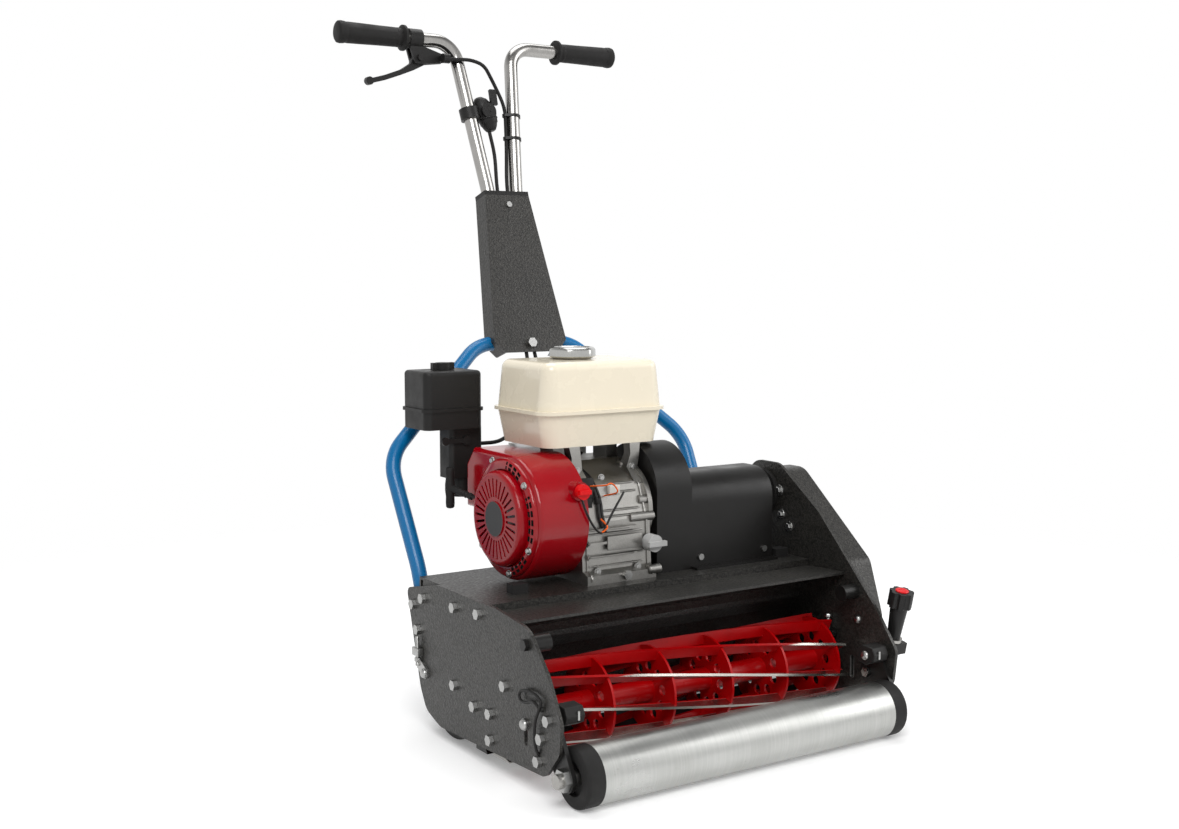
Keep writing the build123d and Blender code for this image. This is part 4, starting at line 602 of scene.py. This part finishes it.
def filler_cap():
    """A chrome cap with wide lobes under a flat rim."""
    def lobe(a):
        return 1 - 0.075 * (0.5 - 0.5 * math.cos(CAP_LOBES * a)) ** 0.6
    low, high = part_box("fuel_cap")
    centre = (low + high) / 2
    r, h = (high.x - low.x) * MM / 2, (high.z - low.z) * MM
    profile = [(0, r * 0.80), (1.2, r * 0.86), (2.4, r * 0.97), (3.6, r), (h - 4.2, r), (h - 2.6, r * 0.975),
               (h - 1.4, r * 0.93), (h - 0.5, r * 0.88), (h - 0.2, r * 0.80), (h - 1.0, r * 0.76),
               (h - 1.2, r * 0.4), (h - 1.2, 0.1)]
    cap = Piece("filler_cap", "cap", "cap_chrome", "zinc")
    cap.lathe(Vector((centre.x, centre.y, low.z)), UP, profile, 96, lobe)
    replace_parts(cap.done(34), "fuel_cap")


def grip_rubbers():
    """Tapered rubber grips with shallow pads, a pinched neck and a flange."""
    def pads(a):
        return 1 - 0.035 * max(0.0, math.cos(GRIP_PADS * a)) ** 0.5
    low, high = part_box("grips")
    y, z = (low.y + high.y) / 2, (low.z + high.z) / 2
    grips = Piece("grip_rubbers", "frame", "rubber", "rubber")
    for end, inward in ((low.x, RIGHT), (high.x, LEFT)):
        start = Vector((end, y, z))
        grips.lathe(start, inward, GRIP_END, 64)
        grips.lathe(start, inward, GRIP_LENGTH, 64, pads)
        grips.lathe(start, inward, GRIP_FLANGE, 48)
    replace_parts(grips.done(36), "grips")


def throttle_dome():
    """A long domed housing beside the left bar, with three ribs round it."""
    low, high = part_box("throttle_housing")
    centre = Vector((high.x, (low.y + high.y) / 2, (low.z + high.z) / 2)) + DOME_INSET
    along = Vector(BAR_LINE).normalized()
    side = Vector(BAR_SIDE).normalized()
    deep = along.cross(side).normalized()
    side = deep.cross(along).normalized()

    def oval(place, half_width, half_depth, shift=0):
        loop = []
        for i in range(DOME_SIDES):
            a = FULL_TURN * i / DOME_SIDES
            across = side * ((shift + half_width * math.cos(a)) / MM)
            loop.append(centre + along * (place / MM) + across + deep * (half_depth * math.sin(a) / MM))
        return loop

    dome = Piece("throttle_dome", "frame", "plastic", "black_plastic")
    dome.rings([oval(*section) for section in DOME])
    for place, half_width in DOME_RIBS:
        dome.rings([oval(place + step, k * half_width, k * RIB_DEPTH) for step, k in RIB_SECTION])
    dome.done(40)


def knob_disc():
    """The red disc in the top of the height knob."""
    along = Vector(ADJUSTER_LINE).normalized()
    disc = Piece("knob_disc", "adjuster", "red_plastic", "red_plastic")
    disc.lathe(point(*ADJUSTER_BASE) + along * KNOB_DISC_AT, along, KNOB_DISC)
    disc.done()


# ---------------------------------------------------------------- crankcase and its wiring
BOSS_END, BOSS_FACE = 11.6, 12.2                                    # x of the boss's edge and face
JOINT_BOSSES = ((316, -6), (278, -6), (259, -24), (196, -6))        # z, and x where the boss starts
JOINT_LINES = (-1.0, -88.0)                                         # x of the two flange lines
LINE_FROM, LINE_STEP, LINE_POINTS = 190, 4, 34
CASE_RIBS = ((300, -44, -6), (290, -44, -6), (270, -60, -6), (263, -60, -6), (250, -84, -28),
             (244, -84, -6), (218, -84, -6), (206, -84, -6))        # z, and x from and to
RIB_STEPS = 8
CASE_SCREWS = ((-46, 306), (-74, 200), (-16, 200))                  # x, z
TANK_BRACKETS = ((-77, -3), (4, 4))                                 # x, and how far the top leans sideways
BRACKET_BOLT_Z = 316

LEAD_X = ((-66.5, 2.0), (-62.0, 1.7))                               # x and radius of the two upright leads
LEAD_Z = (322, 308, 294, 280, 266, 254)
LOOSE_LEAD = [(-103, -116.6, 291), (-100, -119.5, 279), (-94, -121.5, 265), (-86, -121.5, 254),
              (-77, -119, 249), (-70, -117.2, 255), (-62, -116.6, 268), (-53, -116.4, 281),
              (-46, -115.6, 290), (-42, -113.6, 294)]


def crankcase_details():
    """On the case's front: joint bosses, flange lines, ribs, a bare pad, screws and the tank's brackets."""
    cast = Piece("case_bosses", "frame", "alloy", "cast_alloy")
    bolts = Piece("case_bolts", "frame", "zinc", "zinc")
    for z, x in JOINT_BOSSES:
        y = front(4, z) + 2.0
        cast.lathe(point(x, y, z), RIGHT, [(0, 3.0), (0.4, 4.6), (1.4, 5.8), (BOSS_END - x, 6.0),
                                           (BOSS_FACE - x, 5.4)], 24)
        bolts.hexhead(point(BOSS_FACE, y, z), RIGHT, r=3.4, h=2.4, washer=0)
    for x in JOINT_LINES:
        loops = []
        for i in range(LINE_POINTS):
            z = LINE_FROM + i * LINE_STEP
            y = front(x + 1.5, z)
            section = ((0, 1), (3, 1), (2.7, -1.6), (2.2, -2.0), (0.8, -2.0), (0.3, -1.6))
            loops.append([point(x + dx, y + dy, z) for dx, dy in section])
        cast.rings(loops)
    for z, x0, x1 in CASE_RIBS:
        loops = []
        for i in range(RIB_STEPS + 1):
            x = x0 + (x1 - x0) * i / RIB_STEPS
            y = front(x, z)
            k = 0.3 if i in (0, RIB_STEPS) else 1.0
            section = ((1, -1.6), (-1.5 * k, -1.0), (-2.1 * k, -0.4), (-2.1 * k, 0.4), (-1.5 * k, 1.0),
                       (1, 1.6))
            loops.append([point(x, y + dy, z + dz) for dy, dz in section])
        cast.rings(loops)
    y = front(-34, 232)
    cast.block((-60, y - 1.2, 224), (-10, y + 1, 241), 0.5)
    for x, z in CASE_SCREWS:
        bolts.hexhead(point(x, front(x, z), z), FORWARD, r=3.4, h=2.6, washer=5.0)
    for x, lean in TANK_BRACKETS:
        y = min(-60.5, front(x, 312) + 4)
        # z, half width, lean, front and depth of each section
        sections = ((298, 9, 0, front(x, 298) - 1.5, 16), (BRACKET_BOLT_Z, 8, 0, y - 4, 16),
                    (332, 6.5, lean * 0.6, -67, 14), (345.2, 7.5, lean, -64.5, 14))
        cast.rings([[point(x - w + dx, y0, z), point(x + w + dx, y0, z), point(x + w + dx, y0 + t, z),
                     point(x - w + dx, y0 + t, z)] for z, w, dx, y0, t in sections])
        foot = point(x, min(y - 4, front(x, 314) - 1.0), BRACKET_BOLT_Z)
        bolts.hexhead(foot, FORWARD, r=3.6, h=2.8, washer=5.2)
    cast.done(28)
    bolts.done()


def wiring():
    """The ignition unit with its leads, their orange ends, and a pale connector on the case."""
    unit = Piece("ignition_unit", "frame", "plastic", "black_plastic")
    y = front(-78, 292)
    unit.block((-87, y - 4.5, 262), (-69, y + 1.5, 310), 1.2)
    unit.block((-84, y - 7.0, 272), (-72, y - 3.5, 286), 1.0)
    for x, r in LEAD_X:
        run = [(x + 3, front(x, 316) + 2, 336)]
        for i, z in enumerate(LEAD_Z):
            run.append((x + (1.5 if i % 2 else 0), front(x, z) - r - 0.4, z))
        run.append((x + 4, front(x + 4, 246) + 0.5, 246))
        unit.tube(run, r, 10)
    sleeve = point(-64.5, front(-64, 283) - 2.2, 279)
    unit.lathe(sleeve, UP, [(0, 3.9), (0.8, 4.4), (6.4, 4.4), (7.2, 3.9)], 16)
    unit.tube(LOOSE_LEAD, 1.35, 10)
    unit.done(50)

    tips = Piece("lead_tips", "frame", "orange", "red_plastic")
    tips.tube([(-74, front(-74, 300) - 5, 300), (-71, -118.5, 305), (-65, -120, 307), (-58, -119, 303),
               (-54, -117.3, 295), (-53, front(-53, 287) - 1, 287)], 0.95, 8)
    tips.tube([(-66, front(-66, 262) - 3, 262), (-69, -119.5, 256), (-74, -119.8, 251), (-77, -119.4, 250)],
              1.0, 8)
    tips.done(60)

    connector = Piece("lead_block", "frame", "white", "grey_plastic")
    y = front(-38, 293)
    connector.block((-46, y - 5.5, 288), (-31, y + 1, 299), 1.0)
    connector.done(40)


def starter_handle():
    """A cross bar on a ribbed rubber neck, and the rope's end behind it."""
    handle = Piece("starter_handle", "starter", "rubber", "rubber")
    low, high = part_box("starter_grip")
    centre = Vector((low.x + 0.0065, high.y - 0.0065, (low.z + high.z) / 2))
    half_length = Vector((0, 0, 0.026))
    handle.lathe(centre - half_length, UP, [(0, 2.0), (0.6, 4.0), (2, 5.2), (7, 5.6), (15, 5.4), (22, 6.3),
                                            (30, 6.3), (37, 5.4), (45, 5.6), (50, 5.2), (51.4, 4.0),
                                            (52, 2.0)])
    root = point(-168, 36, 280)
    neck = centre - root
    handle.lathe(root, neck, [(-4, 2.4), (-3.4, 3.8), (0, 4.4), (4, 3.4), (6, 4.5), (8, 3.4), (10, 4.5),
                              (12, 3.4), (14, 4.6), (22, 4.2), (neck.length * MM, 5.6)], 24)
    handle.tube([(-168, -30, 280), (-168, 5, 280), (-168, 35, 280)], 2.0, 10)
    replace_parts(handle.done(40), "starter_grip")


# ---------------------------------------------------------------- side plates and roller arms
# x just inside the left plate's outer face and just inside the right plate's inner face.
LEFT_FACE, RIGHT_FACE = -237.8, 234.1
STUD_X, STUD_Y = -242.2, 36
LINK_X = -241.2                             # the outer face of the latch's link
LATCH_LINK = [(40, 85), (31, 87), (15, 78), (13, 71), (18, 66), (26, 67), (40, 76)]
CLIP = [(-235, -243, 44), (-241, -243, 52), (-242.5, -241, 66), (-242.5, -243, 84), (-242.5, -250, 98),
        (-242, -253, 107), (-242, -244, 112), (-242, -228, 113), (-242, -214, 110), (-242.2, -209, 104),
        (-242.4, -214, 99), (-242.4, -226, 100), (-242.4, -238, 104), (-242.4, -249, 101)]
DOMED_HEAD = [(SUNK, 5.2), (1.4, 5.2), (3.0, 4.2), (4.0, 2.2), (4.2, 0.1)]
ARM_BLOCK = ((-268, 82), (-281, 88), (-284, 96), (-279, 105), (-262, 106), (-253, 99), (-254, 86))
ARM_BLOCK_EDGE = 1.2


def draw_latch():
    """The stud on the left plate with its block, nut and link."""
    latch = Piece("draw_latch", "frame", "zinc", "zinc")
    latch.stud(point(STUD_X, STUD_Y, 79), UP, 2.6, 36)
    latch.block((-246, 28.5, 91), (LEFT_FACE, 44, 101))
    latch.lathe(point(STUD_X, STUD_Y, 84), UP, [(0, 3.6), (0.4, 3.8), (4.2, 3.8), (4.6, 3.6)], 6)
    latch.prism(LATCH_LINK, LINK_X, LEFT_FACE)
    latch.lathe(point(LINK_X, 20, 72.6), LEFT, [(-0.2, 5.8), (1.6, 5.8), (3.4, 4.6), (4.4, 2.6),
                                                (4.7, 0.1)], 24)
    latch.lathe(point(-237.9, STUD_Y, 95), LEFT, [(0, 2), (8.0, 2), (8.1, 0.1)], 12)
    latch.done(35, 0.3)


def wire_clip():
    """A bent wire clip on the left plate."""
    clip = Piece("wire_clip", "frame", "cast_black", "black_paint")
    clip.tube(CLIP, 1.7, 8)
    clip.lathe(point(-234.3, -250, 98), LEFT, [(-0.2, 3.0), (5.0, 3.0), (6.6, 2.0), (6.8, 0.1)], 12)
    clip.done(60)


def plate_domes():
    """A domed head outside the left plate and two inside the right one."""
    domes = Piece("plate_domes", "frame", "zinc", "zinc")
    r = 6.2
    domes.lathe(point(-241, -216, 73), LEFT, [(-3.0, r), (0.2, r), (2.2, r * 0.86), (3.6, r * 0.5),
                                              (4.0, 0.1)])
    for y, z in ((-225, 126), (-140, 48)):
        domes.lathe(point(RIGHT_FACE, y, z), LEFT, DOMED_HEAD, 24)
    domes.done()


def bearing_adjusters():
    """Blocks with upright bolts above the reel's bearings, inside both plates."""
    blocks = Piece("bearing_adjusters", "frame", "black", "black_paint")
    bolts = Piece("adjuster_bolts", "frame", "zinc", "zinc")
    for side in (-1, 1):
        x0, x1 = sorted((side * 224.8, side * 233.9))
        blocks.block((x0, -190, 97), (x1, -160, 105), 1.2)
        bolts.stud(point(side * 229.3, -177, 104.8), UP, 2.8, 17)
        bolts.hexhead(point(side * 229.3, -177, 120), UP, r=4.2, h=4.2, washer=0)
    blocks.done(30)
    bolts.done()


def arm_blocks():
    """Blocks on the roller arms with their bolts and a thin pin each."""
    blocks = Piece("arm_blocks", "roller_frame", "cast_black", "black_paint")
    bolts = Piece("arm_bolts", "roller_frame", "zinc", "zinc")
    for side, inward in ((-1, RIGHT), (1, LEFT)):
        x0, x1 = sorted((side * 206, side * 228.9))
        blocks.prism(ARM_BLOCK, x0, x0 + ARM_BLOCK_EDGE, x1 - ARM_BLOCK_EDGE, x1)
        bolts.lathe(point(side * 206.1, -268, 94), inward, [(SUNK, 5.6), (1.6, 5.6), (3.2, 4.4), (4.2, 2.2),
                                                            (4.4, 0.1)], 24)
        bolts.lathe(point(side * 214, -283.4, 91), UP, [(0, 1.0), (0.5, 1.5), (9.5, 1.5), (10, 1.0)], 12)
    blocks.done(30, 1.0)
    bolts.done()


def flange_bolts():
    """Bolts of the counter shaft's bearing flange, and two below it on the right plate."""
    bolts = Piece("flange_bolts", "frame", "zinc", "zinc")
    for y, z in ((-74, 268), (-14, 262)):
        x = surface(["countershaft_bearing", "side_plate_right"], (203, y, z), RIGHT)[0]
        bolts.hexhead(point(x, y, z), LEFT, r=5.2, h=3.6, washer=7.4)
    for y, z in ((-79, 237), (-95, 223)):
        bolts.hexhead(point(RIGHT_FACE, y, z), LEFT, r=4.6, h=3.4, washer=6.6)
    bolts.done()


# ---------------------------------------------------------------- stage, lights, camera
FLOOR_R, FLOOR_Z = 3.2, -0.0005
FLOOR_COLOUR = (0.83, 0.83, 0.83, 1)
FLOOR_GLOW = 0.22                   # what the camera and reflections see on top of the floor's light
FADE_FROM, FADE_TO = 0.45, 1.5      # the floor fades out between these distances, metres
WHITE = (1, 1, 1, 1)
WORLD_LIGHT = 0.42
HORIZON_Z, OVERHEAD_Z = 0.35, 0.8
HORIZON, OVERHEAD = 1.0, 0.3

LIGHT_AIM = Vector((0, 0, 0.3))
# Name, place, size of the square and power.
LIGHTS = (("key", (-1.6, -2.6, 3.0), 2.0, 95),
          ("fill", (3.0, -1.8, 1.8), 2.2, 45),
          ("top", (0.3, 0.8, 3.4), 2.4, 60))

CAMERA_SENSOR, CAMERA_LENS = 36, 43.49
CAMERA_AT = (-1.0087, -1.4956, 0.5534)
CAMERA_PITCH, CAMERA_TURN = 84.31, -33.03


def empty_tree(owner):
    owner.use_nodes = True
    owner.node_tree.nodes.clear()
    return owner.node_tree


def add_nodes(tree, *kinds):
    return [tree.nodes.new("ShaderNode" + kind) for kind in kinds]


def connect(tree, *pairs):
    for source, target in pairs:
        tree.links.new(source, target)


def stage_floor():
    """A pale disc that keeps the object's shadow, and fades out round it."""
    bpy.ops.mesh.primitive_circle_add(vertices=96, radius=FLOOR_R, fill_type="NGON", location=(0, 0, FLOOR_Z))
    disc = bpy.context.object
    disc.name = "floor"
    material = bpy.data.materials.new("floor")
    tree = empty_tree(material)
    ray, seen, strength = add_nodes(tree, "LightPath", "Math", "Math")
    diffuse, glow, lit, clear, mix, out = add_nodes(tree, "BsdfDiffuse", "Emission", "AddShader",
                                                    "BsdfTransparent", "MixShader", "OutputMaterial")
    place, distance, fade = add_nodes(tree, "TexCoord", "VectorMath", "MapRange")
    seen.operation = "MAXIMUM"
    strength.operation = "MULTIPLY"
    strength.inputs[1].default_value = FLOOR_GLOW
    diffuse.inputs["Color"].default_value = FLOOR_COLOUR
    distance.operation = "LENGTH"
    fade.interpolation_type = "SMOOTHSTEP"
    fade.inputs["From Min"].default_value = FADE_FROM
    fade.inputs["From Max"].default_value = FADE_TO
    connect(tree, (ray.outputs["Is Camera Ray"], seen.inputs[0]),
            (ray.outputs["Is Glossy Ray"], seen.inputs[1]),
            (seen.outputs[0], strength.inputs[0]), (strength.outputs[0], glow.inputs["Strength"]),
            (diffuse.outputs[0], lit.inputs[0]), (glow.outputs[0], lit.inputs[1]),
            (place.outputs["Object"], distance.inputs[0]), (distance.outputs["Value"], fade.inputs["Value"]),
            (fade.outputs[0], mix.inputs[0]), (lit.outputs[0], mix.inputs[1]),
            (clear.outputs[0], mix.inputs[2]), (mix.outputs[0], out.inputs[0]))
    disc.data.materials.append(material)


def studio_world():
    """The camera and reflections see white at the horizon and grey above; the light it sheds is plain."""
    world = bpy.data.worlds.new("studio")
    bpy.context.scene.world = world
    tree = empty_tree(world)
    ray, reflected, seen = add_nodes(tree, "LightPath", "Math", "Math")
    light, backdrop, mix, out = add_nodes(tree, "Background", "Background", "MixShader", "OutputWorld")
    place, direction, shade = add_nodes(tree, "TexCoord", "SeparateXYZ", "MapRange")
    reflected.operation = "MAXIMUM"
    seen.operation = "MAXIMUM"
    shade.inputs["From Min"].default_value = HORIZON_Z
    shade.inputs["From Max"].default_value = OVERHEAD_Z
    shade.inputs["To Min"].default_value = HORIZON
    shade.inputs["To Max"].default_value = OVERHEAD
    light.inputs["Color"].default_value = WHITE
    light.inputs["Strength"].default_value = WORLD_LIGHT
    backdrop.inputs["Color"].default_value = WHITE
    connect(tree, (ray.outputs["Is Glossy Ray"], reflected.inputs[0]),
            (ray.outputs["Is Transmission Ray"], reflected.inputs[1]),
            (reflected.outputs[0], seen.inputs[0]), (ray.outputs["Is Camera Ray"], seen.inputs[1]),
            (place.outputs["Generated"], direction.inputs[0]), (direction.outputs[2], shade.inputs["Value"]),
            (shade.outputs[0], backdrop.inputs["Strength"]), (seen.outputs[0], mix.inputs[0]),
            (light.outputs[0], mix.inputs[1]), (backdrop.outputs[0], mix.inputs[2]),
            (mix.outputs[0], out.inputs[0]))


def area_light(name, place, size, power):
    lamp = bpy.data.lights.new(name, "AREA")
    lamp.shape = "SQUARE"
    lamp.size = size
    lamp.energy = power
    obj = bpy.data.objects.new(name, lamp)
    bpy.context.scene.collection.objects.link(obj)
    obj.location = place
    obj.rotation_euler = (LIGHT_AIM - Vector(place)).to_track_quat("-Z", "Y").to_euler()


def camera():
    data = bpy.data.cameras.new("camera")
    data.sensor_width = CAMERA_SENSOR
    data.lens = CAMERA_LENS
    obj = bpy.data.objects.new("camera", data)
    bpy.context.scene.collection.objects.link(obj)
    obj.location = CAMERA_AT
    obj.rotation_euler = (math.radians(CAMERA_PITCH), 0, math.radians(CAMERA_TURN))
    bpy.context.scene.camera = obj


cover_screws()
starter_ring()
filler_cap()
grip_rubbers()
throttle_dome()
knob_disc()
crankcase_details()
wiring()
starter_handle()
draw_latch()
wire_clip()
plate_domes()
bearing_adjusters()
arm_blocks()
flange_bolts()

stage_floor()
studio_world()
for light in LIGHTS:
    area_light(*light)
for node in NODES.values():
    smooth(node, NODE_SMOOTH_ANGLE)
camera()
bpy.context.scene.view_settings.view_transform = "Standard"
